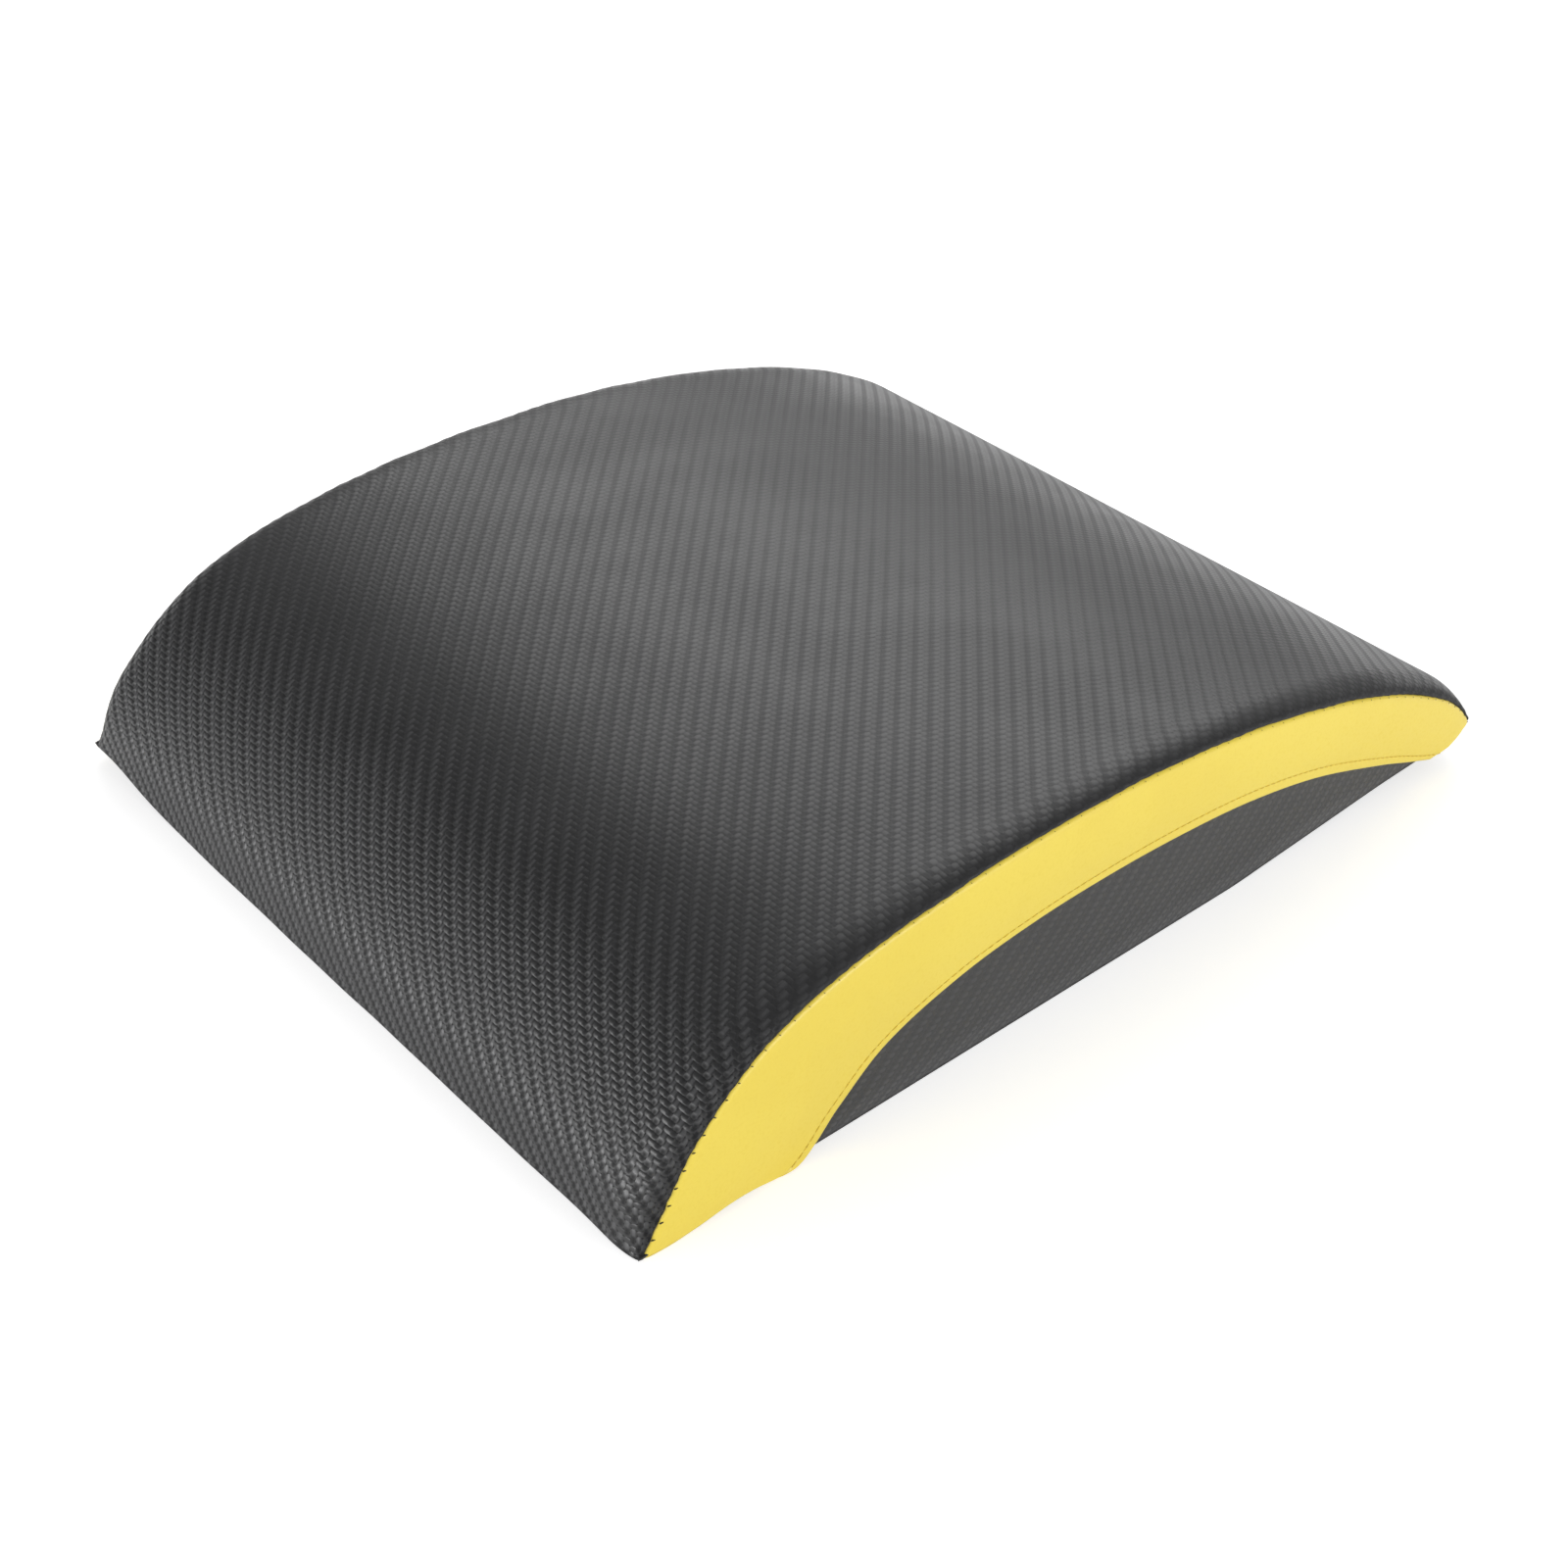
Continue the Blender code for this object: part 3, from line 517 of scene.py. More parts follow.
def stitch_row(board, entry):
    """Lays a stitch at even steps along each line, flat on the cloth."""
    curve = board.add("GeometryNodeMeshToCurve", {"Mesh": entry["Lines"]}).outputs[0]
    steps = {"Curve": curve, "Length": entry["Stitch Pitch"]}
    spaced = board.add("GeometryNodeResampleCurve", steps, mode="LENGTH").outputs[0]
    named = "GeometryNodeInputNamedAttribute"
    facing = board.add(named, {"Name": "facing"}, data_type="FLOAT_VECTOR").outputs[0]
    size = board.add(named, {"Name": "size"}, data_type="FLOAT").outputs[0]
    align = "FunctionNodeAlignRotationToVector"
    tangent = board.add("GeometryNodeInputTangent").outputs[0]
    lie = board.add(align, {"Vector": tangent}, axis="X").outputs[0]
    upright = board.add(align, {"Rotation": lie, "Vector": facing}, axis="Z", pivot_axis="X").outputs[0]
    jitter = board.add("FunctionNodeRandomValue", {"Seed": entry["Seed"]}, data_type="FLOAT")
    board.feed(jitter.inputs[2], board.times(entry["Unevenness"], -1.0))
    board.feed(jitter.inputs[3], entry["Unevenness"])
    swing = board.math("ADD", entry["Turned"], jitter.outputs[1])
    spin = board.add("ShaderNodeCombineXYZ", {"Z": swing}).outputs[0]
    turned = board.add("FunctionNodeRotateRotation", {0: upright, 1: spin}, rotation_space="LOCAL").outputs[0]
    ball = board.add("GeometryNodeMeshUVSphere", {"Segments": 8, "Rings": 6, "Radius": 1.0}).outputs[0]
    inputs = {"Geometry": ball, "Name": "stitch"}
    marked = board.add("GeometryNodeStoreNamedAttribute", inputs, data_type="FLOAT_VECTOR", domain="POINT")
    board.feed(marked.inputs["Value"], board.add("GeometryNodeInputPosition").outputs[0])
    # The sphere's poles are turned onto the stitch's ends.
    inputs = {"Geometry": marked.outputs[0], "Rotation": (0.0, pi / 2, 0.0)}
    laid = board.add("GeometryNodeTransform", inputs).outputs[0]
    half_length, half_width = [board.times(entry[name], 0.5) for name in ("Stitch Length", "Thread Width")]
    shape = board.add("ShaderNodeCombineXYZ", {"X": half_length, "Y": half_width, "Z": half_width})
    grain = board.add("GeometryNodeTransform", {"Geometry": laid, "Scale": shape.outputs[0]}).outputs[0]
    inputs = {"Points": spaced, "Instance": grain, "Rotation": turned, "Scale": size}
    made = board.add("GeometryNodeInstanceOnPoints", inputs).outputs[0]
    for kind in ("GeometryNodeRealizeInstances", "GeometryNodeSetShadeSmooth"):
        made = board.add(kind, {0: made}).outputs[0]
    made = board.add("GeometryNodeSetMaterial", {0: made, "Material": entry["Thread"]}).outputs[0]
    return {"Stitches": made}


# Each group's builder, kind of tree, kind of outputs, and inputs with their kind and value
NODE_GROUPS = {
    "twill_weave": (
        twill_weave, "Shader", "Float",
        (("Cloth", "Vector", None), ("Yarn Pitch", "Float", 1.85 * MM)),
    ),
    "vinyl_grain": (
        vinyl_grain, "Shader", "Float",
        (("Place", "Vector", None), ("Grain Size", "Float", 0.7 * MM)),
    ),
    "use_and_wear": (
        use_and_wear, "Shader", "Float",
        (("Place", "Vector", None), ("Edge", "Float", 0.0), ("Amount", "Float", 0.5)),
    ),
    "thread_ply": (
        thread_ply, "Shader", "Float",
        (("Stitch", "Vector", None), ("Turns", "Float", 3.0)),
    ),
    "stitch_row": (
        stitch_row, "Geometry", "Geometry",
        (
            ("Lines", "Geometry", None),
            ("Stitch Pitch", "Float", 3 * MM),
            ("Stitch Length", "Float", 2.4 * MM),
            ("Thread Width", "Float", 0.5 * MM),
            ("Turned", "Float", 0.0),
            ("Unevenness", "Float", 0.08),
            ("Seed", "Int", 5),
            ("Thread", "Material", None),
        ),
    ),
}


# Materials


class Finish(Board):
    """The board of a new material, with its shader's inputs and the piece's own coordinates."""

    def __init__(self, name, colour):
        self.made = bpy.data.materials.new(name)
        self.made.use_nodes = True
        self.made.diffuse_color = (*colour[:3], 1)
        super().__init__(self.made.node_tree)
        self.place = self.add("ShaderNodeTexCoord").outputs["Object"]

    def cloth(self):
        return self.add("ShaderNodeUVMap", uv_map="cloth").outputs["UV"]

    def named(self, name, output="Fac"):
        return self.add("ShaderNodeAttribute", attribute_name=name).outputs[output]

    def grain(self, size):
        return self.group("vinyl_grain", Place=self.place, Grain_Size=size)

    def wear(self, amount):
        return self.group("use_and_wear", Place=self.place, Edge=self.named("edge"), Amount=amount)

    def shade(self, inputs):
        """Feeds the Principled shader."""
        for name, value in inputs.items():
            self.feed(self.tree.nodes["Principled BSDF"].inputs[name], value)

    def surface(self, tone, roughness, height, strength, distance):
        inputs = {"Height": height, "Strength": strength, "Distance": distance}
        bump = self.add("ShaderNodeBump", inputs).outputs["Normal"]
        self.shade({"Base Color": tone, "Roughness": roughness, "Normal": bump})


def colour_times(colour, *factors, lift=0.0):
    """A colour times one factor, or times one for each channel."""
    factors = factors if len(factors) > 1 else factors * 3
    return (*[min(1.0, part * factor + lift) for part, factor in zip(colour, factors)], 1.0)


def carbon_vinyl(board, colour):
    """Black vinyl embossed with a twill, satin on the yarns and duller in the hollows.

    Its colour also holds painted light: a painted highlight on the yarns' crests, a painted sheen that makes
    the warp floats lighter than the weft floats, painted shade in the hollows, and painted shade along the
    side seams' tuck and the side covers' foot. The emboss is deep on the steep front and shallow over the
    crest, and the painted highlight and the painted shade in the hollows follow it.
    """
    pitch = bpy.context.scene.ab_mat_looks.yarn_pitch
    twill = board.group("twill_weave", Cloth=board.cloth(), Yarn_Pitch=pitch)
    wear = board.wear(0.35)
    x, _, _ = board.parts(board.place)
    # Depth of the emboss; it also sets the strength of the painted highlight on the crests and the painted
    # shade in the hollows.
    relief = board.ramp(x, 25 * MM - HALF_LENGTH, 65 * MM - HALF_LENGTH, 1.0, 0.28)
    hollow = board.times(twill["Hollow"], relief)
    # Painted sheen: the warp floats are painted lighter than the weft floats, for the different shine of
    # yarns that run two ways.
    tone = board.colours(twill["Warp"], colour_times(colour, 0.85), colour_times(colour, 1.05))
    # Painted highlight: the yarns' crests are painted up to 2.4 times lighter.
    tone = board.colours(board.times(twill["Ridge"], relief), tone, colour_times(colour, 2.4))
    # Painted shade: the weave's hollows are painted near black.
    tone = board.colours(hollow, tone, (0.002, 0.002, 0.0025, 1))
    tone = board.shaded(tone, board.ramp(wear["Clouds"], 0.0, 1.0, 0.92, 1.06))
    tone = board.colours(board.times(wear["Rubbed"], 0.12), tone, (0.10, 0.10, 0.10, 1))
    # Painted shade: near black along the side seams' tuck and along the side covers' foot, where the edge
    # attribute is high.
    tucked = board.ramp(board.named("edge"), 0.35, 0.95, 0.0, 0.75)
    tone = board.colours(tucked, tone, (0.004, 0.004, 0.005, 1))
    rough = board.times_plus(hollow, 0.4, board.ramp(wear["Clouds"], 0.0, 1.0, 0.36, 0.41))
    rough = board.times_plus(tucked, 0.4, rough)
    board.surface(tone, rough, board.times(twill["Height"], relief), 1.0, 0.32 * MM)


def yellow_vinyl(board, colour):
    """Smooth yellow vinyl with a fine grain, and painted shade along the groove of its hem's topstitch."""
    grain, wear = board.grain(0.8 * MM), board.wear(0.4)
    deep = colour_times(colour, 0.86, 0.8, 0.6)
    tone = board.colours(board.ramp(wear["Clouds"], 0.0, 1.0, 0.0, 0.18), colour, deep)
    # Darker ochre in the grain's creases and where rubbed, and along the topstitch's groove, where it is
    # painted shade.
    for mask, share in ((grain["Crease"], 0.16), (wear["Rubbed"], 0.35), (board.named("groove"), 0.12)):
        tone = board.colours(board.times(mask, share), tone, deep)
    board.surface(tone, board.times_plus(grain["Crease"], 0.12, 0.38), grain["Height"], 0.25, 0.06 * MM)


def base_vinyl(board, colour):
    """Matte black vinyl with a coarser grain, scuffed where it lies on the floor."""
    grain, wear = board.grain(1.3 * MM), board.wear(0.6)
    tone = board.colours(board.times(grain["Crease"], 0.6), colour, (0.008, 0.008, 0.009, 1))
    for mask, share in ((wear["Clouds"], 0.15), (wear["Rubbed"], 0.5)):
        tone = board.colours(board.times(mask, share), tone, colour_times(colour, 2.6, lift=0.02))
    board.surface(tone, board.times_plus(grain["Crease"], 0.2, 0.52), grain["Height"], 0.4, 0.12 * MM)


def moulded_foam(board, colour):
    """Moulded foam: a skin of small open cells."""
    cells = board.add("ShaderNodeTexVoronoi", {"Vector": board.place, "Scale": 900.0})
    open_cell = board.ramp(cells.outputs["Distance"], 0.15, 0.45)
    tone = board.colours(open_cell, colour_times(colour, 0.35), colour)
    tone = board.shaded(tone, board.ramp(board.noise(board.place, 30.0, 3.0), 0.3, 0.7, 0.85, 1.1))
    board.surface(tone, board.ramp(open_cell, 0.0, 1.0, 1.0, 0.88), open_cell, 0.6, 0.25 * MM)


def woven_tape(board, colour):
    """Zip tape: a fine herringbone with a denser selvedge."""
    along, across, _ = board.parts(board.cloth())
    slanted = board.math("ADD", along, board.math("PINGPONG", across, 1.3 * MM))
    ridge = board.math("SINE", board.times(slanted, 2 * pi / (0.75 * MM)))
    ends = board.math("SINE", board.times(across, 2 * pi / (0.45 * MM)))
    weave = board.times_plus(ends, 0.4, ridge)
    tone = board.colours(board.ramp(weave, -0.8, 0.9), colour, colour_times(colour, 2.2))
    tone = board.shaded(tone, board.ramp(board.noise(board.place, 700.0, 3.0), 0.35, 0.7, 0.7, 1.15))
    board.surface(tone, board.ramp(weave, -1.0, 1.0, 0.95, 0.8), weave, 0.5, 0.08 * MM)


def moulded_plastic(board, colour):
    """Moulded zip plastic, faintly pitted, shinier where the teeth rub."""
    rubbed = board.ramp(board.noise(board.place, 260.0, 3.0), 0.5, 0.7)
    tone = board.colours(board.times(rubbed, 0.5), colour, colour_times(colour, 2.4))
    pits = board.noise(board.place, 2200.0, 2.0)
    board.surface(tone, board.ramp(rubbed, 0.0, 1.0, 0.42, 0.28), pits, 0.3, 0.05 * MM)


def enamel(board, colour):
    """Black enamel over cast zinc, worn through in small flecks."""
    worn = board.ramp(board.noise(board.place, 520.0, 4.0, 0.65), 0.66, 0.72)
    tone = board.colours(worn, colour, (0.42, 0.40, 0.38, 1))
    peel = board.noise(board.place, 700.0, 2.0)
    board.surface(tone, board.ramp(worn, 0.0, 1.0, 0.27, 0.4), peel, 0.25, 0.06 * MM)
    board.shade({"Metallic": worn, "Coat Weight": 0.35, "Coat Roughness": 0.12})


def sewing_thread(board, colour):
    """Twisted polyester sewing thread."""
    ply = board.group("thread_ply", Stitch=board.named("stitch", "Vector"))
    fuzz = board.ramp(board.noise(board.place, 1500.0, 2.0), 0.3, 0.7, 0.8, 1.1)
    tone = board.shaded(colour, board.times(ply["Shade"], fuzz))
    board.surface(tone, board.ramp(ply["Shade"], 0.5, 1.0, 0.75, 0.5), ply["Height"], 0.5, 0.08 * MM)


# Each slot's or thread's builder, and its colour's name among the looks
FINISHES = {
    "carbon_vinyl": (carbon_vinyl, "carbon"),
    "yellow_vinyl": (yellow_vinyl, "yellow"),
    "base_vinyl": (base_vinyl, "base"),
    "foam": (moulded_foam, "foam"),
    "zip_tape": (woven_tape, "tape"),
    "zip_plastic": (moulded_plastic, "plastic"),
    "zip_metal": (enamel, "metal"),
    "ochre_thread": (sewing_thread, "hem_thread"),
    "black_thread": (sewing_thread, "seam_thread"),
}


def finish(name):
    """The material of a slot or thread, made the first time it is asked for."""
    made = bpy.data.materials.get(name + "_finish")
    if made:
        return made
    build, look = FINISHES[name]
    colour = tuple(getattr(bpy.context.scene.ab_mat_looks, look))
    board = Finish(name + "_finish", colour)
    build(board, colour)
    return board.made


# Stitches


def sew(name, lines, thread, slot, **sizes):
    """Rows of stitches along lines, each a list of points, facing directions and sizes."""
    points, edges, facings, scales = [], [], [], []
    for line, facing, scale in lines:
        edges += [(len(points) + k, len(points) + k + 1) for k in range(len(line) - 1)]
        points += [tuple(point) for point in curled(line)]
        facings.append(facing)
        scales.append(np.broadcast_to(scale, len(line)))
    data = bpy.data.meshes.new(name + "_lines")
    data.from_pydata(points, edges, [])
    give_values(data, "facing", "FLOAT_VECTOR", "vector", np.concatenate(facings))
    give_values(data, "size", "FLOAT", "value", np.concatenate(scales))
    rows = linked(name + "_lines", data)
    modifier = rows.modifiers.new("stitches", "NODES")
    tree = modifier.node_group = node_group("stitch_row")
    sockets = {item.name: item.identifier for item in tree.interface.items_tree if item.in_out == "INPUT"}
    for label, value in {**sizes, "Thread": finish(thread)}.items():
        modifier[sockets[label.replace("_", " ")]] = value
    bpy.context.view_layer.update()
    evaluated = rows.evaluated_get(bpy.context.evaluated_depsgraph_get())
    mesh = bpy.data.meshes.new_from_object(evaluated)
    mesh.name = name
    rows.modifiers.clear()
    bpy.data.objects.remove(rows)
    settle(linked(name, mesh), slot)


# Swelling of the stuffed pad


class Swell:
    """How far the simulated foam pad has swollen near any point, as a smooth field."""

    def __init__(self, points, moves):
        self.moves = moves
        self.tree = kdtree.KDTree(len(points))
        for index, point in enumerate(points):
            self.tree.insert(point, index)
        self.tree.balance()

    def at(self, points):
        found = np.zeros((len(points), 3))
        for index, point in enumerate(points):
            near = self.tree.find_n(point, 40)
            weights = np.array([1 / (distance + 8 * MM) for _, _, distance in near])
            near_moves = self.moves[[k for _, k, _ in near]]
            found[index] = (weights[:, None] * near_moves).sum(axis=0) / weights.sum()
        return found


SWELL = []
SWELL_FRAMES = 20


def seam_hold(points):
    """0 on the pad's seams and its base, 1 well away from them."""
    x, y, z = np.abs(points[:, 0]), np.abs(points[:, 1]), points[:, 2]
    from_side = eased((HALF_SEAM - y) / (60 * MM))
    from_ends = eased((HALF_LENGTH - x) / (45 * MM))
    return from_side * from_ends * eased((z - sole(points[:, 0])) / (35 * MM))


def points_of(mesh):
    points = np.empty(len(mesh.vertices) * 3)
    mesh.vertices.foreach_get("co", points)
    return points.reshape(-1, 3)


def simulate_foam(pad, sizes):
    """Swells the foam with cloth pressure and returns its points, with the cloth taken off again."""
    settings = pad.modifiers.new("swelling", "CLOTH").settings
    settings.use_pressure = True
    settings.uniform_pressure_force = sizes.pressure
    settings.effector_weights.gravity = 0
    settings.quality = 6
    settings.tension_stiffness = settings.compression_stiffness = 25
    settings.bending_stiffness = 4
    scene = bpy.context.scene
    scene.frame_start, scene.frame_end = 1, SWELL_FRAMES
    for step in range(1, SWELL_FRAMES + 1):
        scene.frame_set(step)
    evaluated = pad.evaluated_get(bpy.context.evaluated_depsgraph_get())
    moved = points_of(evaluated.to_mesh())
    evaluated.to_mesh_clear()
    pad.modifiers.clear()
    scene.frame_set(1)
    return moved


# Sizes and colours


def number(name, description, default, **settings):
    return bpy.props.FloatProperty(name=name, description=description, default=default, **settings)


def length(name, description, default):
    return number(name, description, default, unit="LENGTH")


def colour_property(name, description, default):
    settings = {"subtype": "COLOR", "size": 4, "min": 0, "max": 1}
    return bpy.props.FloatVectorProperty(
        name=name, description=description, default=(*default, 1.0), **settings
    )


class AbMatSizes(bpy.types.PropertyGroup):
    """Sizes of the sewn pieces."""

    pressure: number("Stuffing pressure", "Pressure that swells the foam pad inside its cover", 4.0, min=0.0)
    swell_cap: length("Most swelling", "How far the middle of the pad may swell beyond the CAD", 1.2 * MM)
    tuck: length("Seam tuck", "How far the cover turns in at its side seams", 1.1 * MM)
    pucker: length("Seam pucker", "Depth of the gathers beside the side seams", 0.28 * MM)
    hem_line: length("Hem stitch line", "Distance of the topstitch from the band's folded hem", 4.5 * MM)
    stitch_pitch: length("Stitch pitch", "Distance between one stitch and the next", 3.0 * MM)
    seam_pitch: length("Seam stitch pitch", "Distance between the stitches that cross the seam", 5.6 * MM)
    thread: length("Thread", "Thickness of the sewing thread", 0.45 * MM)


class AbMatLooks(bpy.types.PropertyGroup):
    """Colours of the finishes and the size of the embossed weave."""

    carbon: colour_property("Carbon vinyl", "Colour of the embossed black vinyl", (0.028, 0.028, 0.029))
    yellow: colour_property("Yellow vinyl", "Colour of the bands", (0.85, 0.67, 0.085))
    base: colour_property("Base vinyl", "Colour of the underside", (0.022, 0.022, 0.024))
    foam: colour_property("Foam", "Colour of the foam pad", (0.15, 0.15, 0.16))
    tape: colour_property("Zip tape", "Colour of the woven zip tapes", (0.016, 0.016, 0.018))
    plastic: colour_property("Zip teeth", "Colour of the moulded teeth and stops", (0.024, 0.024, 0.026))
    metal: colour_property("Zip slider", "Colour of the enamelled slider and tab", (0.020, 0.020, 0.022))
    hem_thread: colour_property("Hem thread", "Colour of the topstitch on the bands", (0.90, 0.62, 0.06))
    seam_thread: colour_property("Seam thread", "Colour of the black stitching", (0.012, 0.012, 0.013))
    yarn_pitch: length("Yarn pitch", "Width of one yarn of the embossed twill", 1.8 * MM)


class AbMatStudio(bpy.types.PropertyGroup):
    """Floor, lights and camera."""

    floor: colour_property("Floor", "Colour of the studio floor", (0.80, 0.80, 0.80))
    floor_radius: length("Floor radius", "Half the width of the floor", 6.0)
    world: number("Room light", "Strength of the even room light", 0.34)
    ceiling: number("Ceiling", "How light reflections of the room above the backdrop look", 0.05)
    top_power: number("Top softbox", "Power of the large softbox behind the mat", 22.0, unit="POWER")
    side_power: number("Side softbox", "Power of the softbox beside the camera", 17.0, unit="POWER")
    low_power: number("Low softbox", "Power of the low softbox before the front", 10.0, unit="POWER")
    lens: number("Lens", "Focal length on a sensor 36 mm wide", 53.23, unit="CAMERA")


# Pieces


class ABMAT_OT_foam_pad(bpy.types.Operator):
    """Makes the foam pad inside the cover and swells it by cloth simulation"""

    bl_idname = "ab_mat.foam_pad"
    bl_label = "Foam pad"

    def execute(self, context):
        sizes = context.scene.ab_mat_sizes
        pad = linked("foam_pad", frame["nodes"]["foam_core"].data.copy())
        mesh = bmesh.new()
        mesh.from_mesh(pad.data)
        bmesh.ops.remove_doubles(mesh, verts=mesh.verts, dist=0.02 * MM)
        bmesh.ops.recalc_face_normals(mesh, faces=mesh.faces)
        mesh.to_mesh(pad.data)
        mesh.free()
        remesh = pad.modifiers.new("even mesh", "REMESH")
        remesh.mode = "VOXEL"
        remesh.voxel_size = 4 * MM
        evaluated = pad.evaluated_get(context.evaluated_depsgraph_get())
        data = bpy.data.meshes.new_from_object(evaluated)
        pad.modifiers.clear()
        pad.data = data
        start = points_of(data)
        moves = simulate_foam(pad, sizes) - start
        distance = np.linalg.norm(moves, axis=1, keepdims=True)
        moves *= np.minimum(1, sizes.swell_cap / np.maximum(distance, 1e-9))
        moves *= seam_hold(start)[:, None]
        field = Swell(start, moves)
        SWELL.append(field)
        inset = np.array([vertex.normal for vertex in data.vertices]) * 0.35 * MM
        data.vertices.foreach_set("co", curled(start + field.at(start) - inset).ravel())
        data.materials.clear()
        data.materials.append(finish("foam"))
        data.shade_smooth()
        data.name = "foam_pad"
        settle(pad, "foam", "foam_core")
        return {"FINISHED"}


def across_columns():
    """Columns across the top cover, as a side, a place on the flat, a turn round the roll and a tuck."""
    flat = [(np.sign(y), abs(y), 0.0, 0.0) for y in np.linspace(-FLAT_HALF, FLAT_HALF, 121)]
    edge = [(1.0, FLAT_HALF, turn, 0.0) for turn in np.linspace(0, pi / 2, 13)[1:]]
    edge += [(1.0, FLAT_HALF, pi / 2, share) for share in (0.25, 0.5, 0.75, 1.0)]
    return np.array([(-side, *rest) for side, *rest in reversed(edge)] + flat + edge)


def top_grid(columns, depth, tuck):
    """The top cover's face at a depth under the outside, as a grid of points."""
    side, flat, turn, tucked = columns.T
    y = side * (flat + (ROLL_WIDTH - depth) * np.sin(turn) - tuck * tucked**2)
    rows = []
    for share, drop in zip(STATIONS, roll_drop(STATIONS)):
        down = depth + (drop - depth) * (1 - np.cos(turn)) + 0.5 * tuck * tucked
        xz = arch([share] * len(down), down)
        rows.append(np.column_stack([xz[:, 0], y, np.maximum(xz[:, 1], SKIN_LIFT)]))
    return np.array(rows)


class ABMAT_OT_top_cover(bpy.types.Operator):
    """Makes the black cover over the arch, rolled over and gathered at its side seams"""

    bl_idname = "ab_mat.top_cover"
    bl_label = "Top cover"

    def execute(self, context):
        sizes = context.scene.ab_mat_sizes
        columns = across_columns()
        grids = [top_grid(columns, depth, sizes.tuck) for depth in (0, COVER)]
        side, flat, turn, tucked = columns.T
        drop = roll_drop(STATIONS)[:, None]
        around = turn * (ROLL_WIDTH + drop) / 2 + tucked * sizes.tuck
        across = side * (flat + around)
        cloth = np.stack(np.broadcast_arrays((STATIONS * ARCH_LENGTH)[:, None], across), axis=-1)
        to_seam = np.maximum(HALF_SEAM - np.abs(grids[0][..., 1]), 0) * (turn < pi / 2 - 1e-6)
        points = grids[0].reshape(-1, 3)
        normals = grid_normals(grids[0], np.array((0, 0, 1.0))).reshape(-1, 3)
        hold = seam_hold(points)
        swell = SWELL[0].at(points) * hold[:, None] if SWELL else 0
        run, near = cloth[..., 0].ravel(), to_seam.ravel()
        gathers = np.cos(2 * pi * run / sizes.seam_pitch) * fading(near, 2.2 * MM) * 0.5
        flat_places = np.column_stack([run, points[:, 1] * 0.12, near])
        folds = unevenness(flat_places, 17 * MM, seed=3) * fading(near, 9 * MM)
        corner = 1 + 2.5 * fading(run, 30 * MM) + 1.2 * fading(ARCH_LENGTH - run, 30 * MM)
        soft = unevenness(points, 55 * MM, seed=8) * 0.09 * MM * hold
        push = sizes.pucker * (gathers + 1.6 * folds * corner) + soft
        wavy = unevenness(points * (0, 1, 0), 26 * MM, seed=5) * fading(run, 5 * MM)
        move = swell + normals * push[:, None] + np.outer(wavy, (0.7 * MM, 0, 0))
        move = move.reshape(grids[0].shape) * (1 - tucked**2)[None, :, None]
        for grid in grids:
            grid += move
            grid[..., 2] = np.maximum(grid[..., 2], FLOOR_LIFT)
        # Nearness to the side seams: it drives rubbing there and the carbon vinyl's painted shade.
        edge = fading(to_seam, 3 * MM)
        piece = closed_sheet("top_cover", "top_panel", "carbon_vinyl", grids, cloth, edge)
        return {"FINISHED"}


def band_edges():
    """The band's hem and seam in side view, station by station."""
    hem = above_sole(read_along(HEM, HEM, STATIONS), SKIN_LIFT)
    seam = above_sole(arch(STATIONS, roll_drop(STATIONS) + GAP), SKIN_LIFT)
    return hem, seam


HEM_COLUMNS = MM * np.array(
    (0.0, 0.15, 0.45, 0.9, 1.4, 2.0, 2.8, 3.5, 3.9, 4.2, 4.5, 4.8, 5.1, 5.5, 6.2, 7.2)
)
SEAM_COLUMNS = MM * np.array((4.0, 3.0, 2.2, 1.5, 1.0, 0.6, 0.3, 0.0))
MIDDLE_COLUMNS = 12


def band_columns(width):
    """Places between the hem and the seam of a band this wide, as distances from the hem."""
    squeeze = min(1.0, width / (HEM_COLUMNS[-1] + SEAM_COLUMNS[0]) * 0.8)
    hem, seam = HEM_COLUMNS * squeeze, width - SEAM_COLUMNS * squeeze
    middle = np.linspace(hem[-1], seam[0], MIDDLE_COLUMNS + 2)[1:-1]
    return np.concatenate([hem, middle, seam])


def band_grids(sizes):
    """The left-hand band's outer and inner faces, its cloth places and its masks."""
    rows = []
    for station, low, high in zip(STATIONS, *band_edges()):
        width = max(np.linalg.norm(high - low), 1e-6)
        from_hem = band_columns(width)
        share = from_hem / width
        to_seam = width - from_hem
        crown = BAND_CROWN * np.interp(share, *np.array(BAND_SECTION_SHARES).T)
        lip = rounded(from_hem, 0.9 * MM)
        line = bell(from_hem - sizes.hem_line, 0.55 * MM)
        valley = bell(from_hem - sizes.hem_line, 1.6 * MM)
        run = station * ARCH_LENGTH
        tight = 0.5 + 0.5 * cos(2 * pi * run / sizes.stitch_pitch)
        gather = 0.5 + 0.5 * cos(2 * pi * run / sizes.seam_pitch)
        y = BAND_SEAT + COVER + BAND_SEAM_STEP * share + crown * lip
        y -= valley * 0.06 * MM + line * (0.05 + 0.05 * tight) * MM
        y -= fading(to_seam, 0.7 * MM) * (0.9 + 0.25 * gather) * MM
        y -= fading(to_seam, 2.5 * MM) * gather * 0.15 * MM
        y += 1.5 * MM * bell(station, 0.035) * bell(from_hem, 11 * MM) * lip
        x, z = (low + (high - low) * share[:, None]).T
        outer = np.column_stack([x, y, z])
        inner = np.column_stack([x, np.full(len(y), BAND_SEAT), z])
        cloth = np.column_stack([np.full(len(y), run), from_hem])
        rows.append((outer, inner, cloth, line, fading(from_hem, 1.0 * MM) + fading(to_seam, 1.5 * MM)))
    return [np.array(grid) for grid in zip(*rows)]


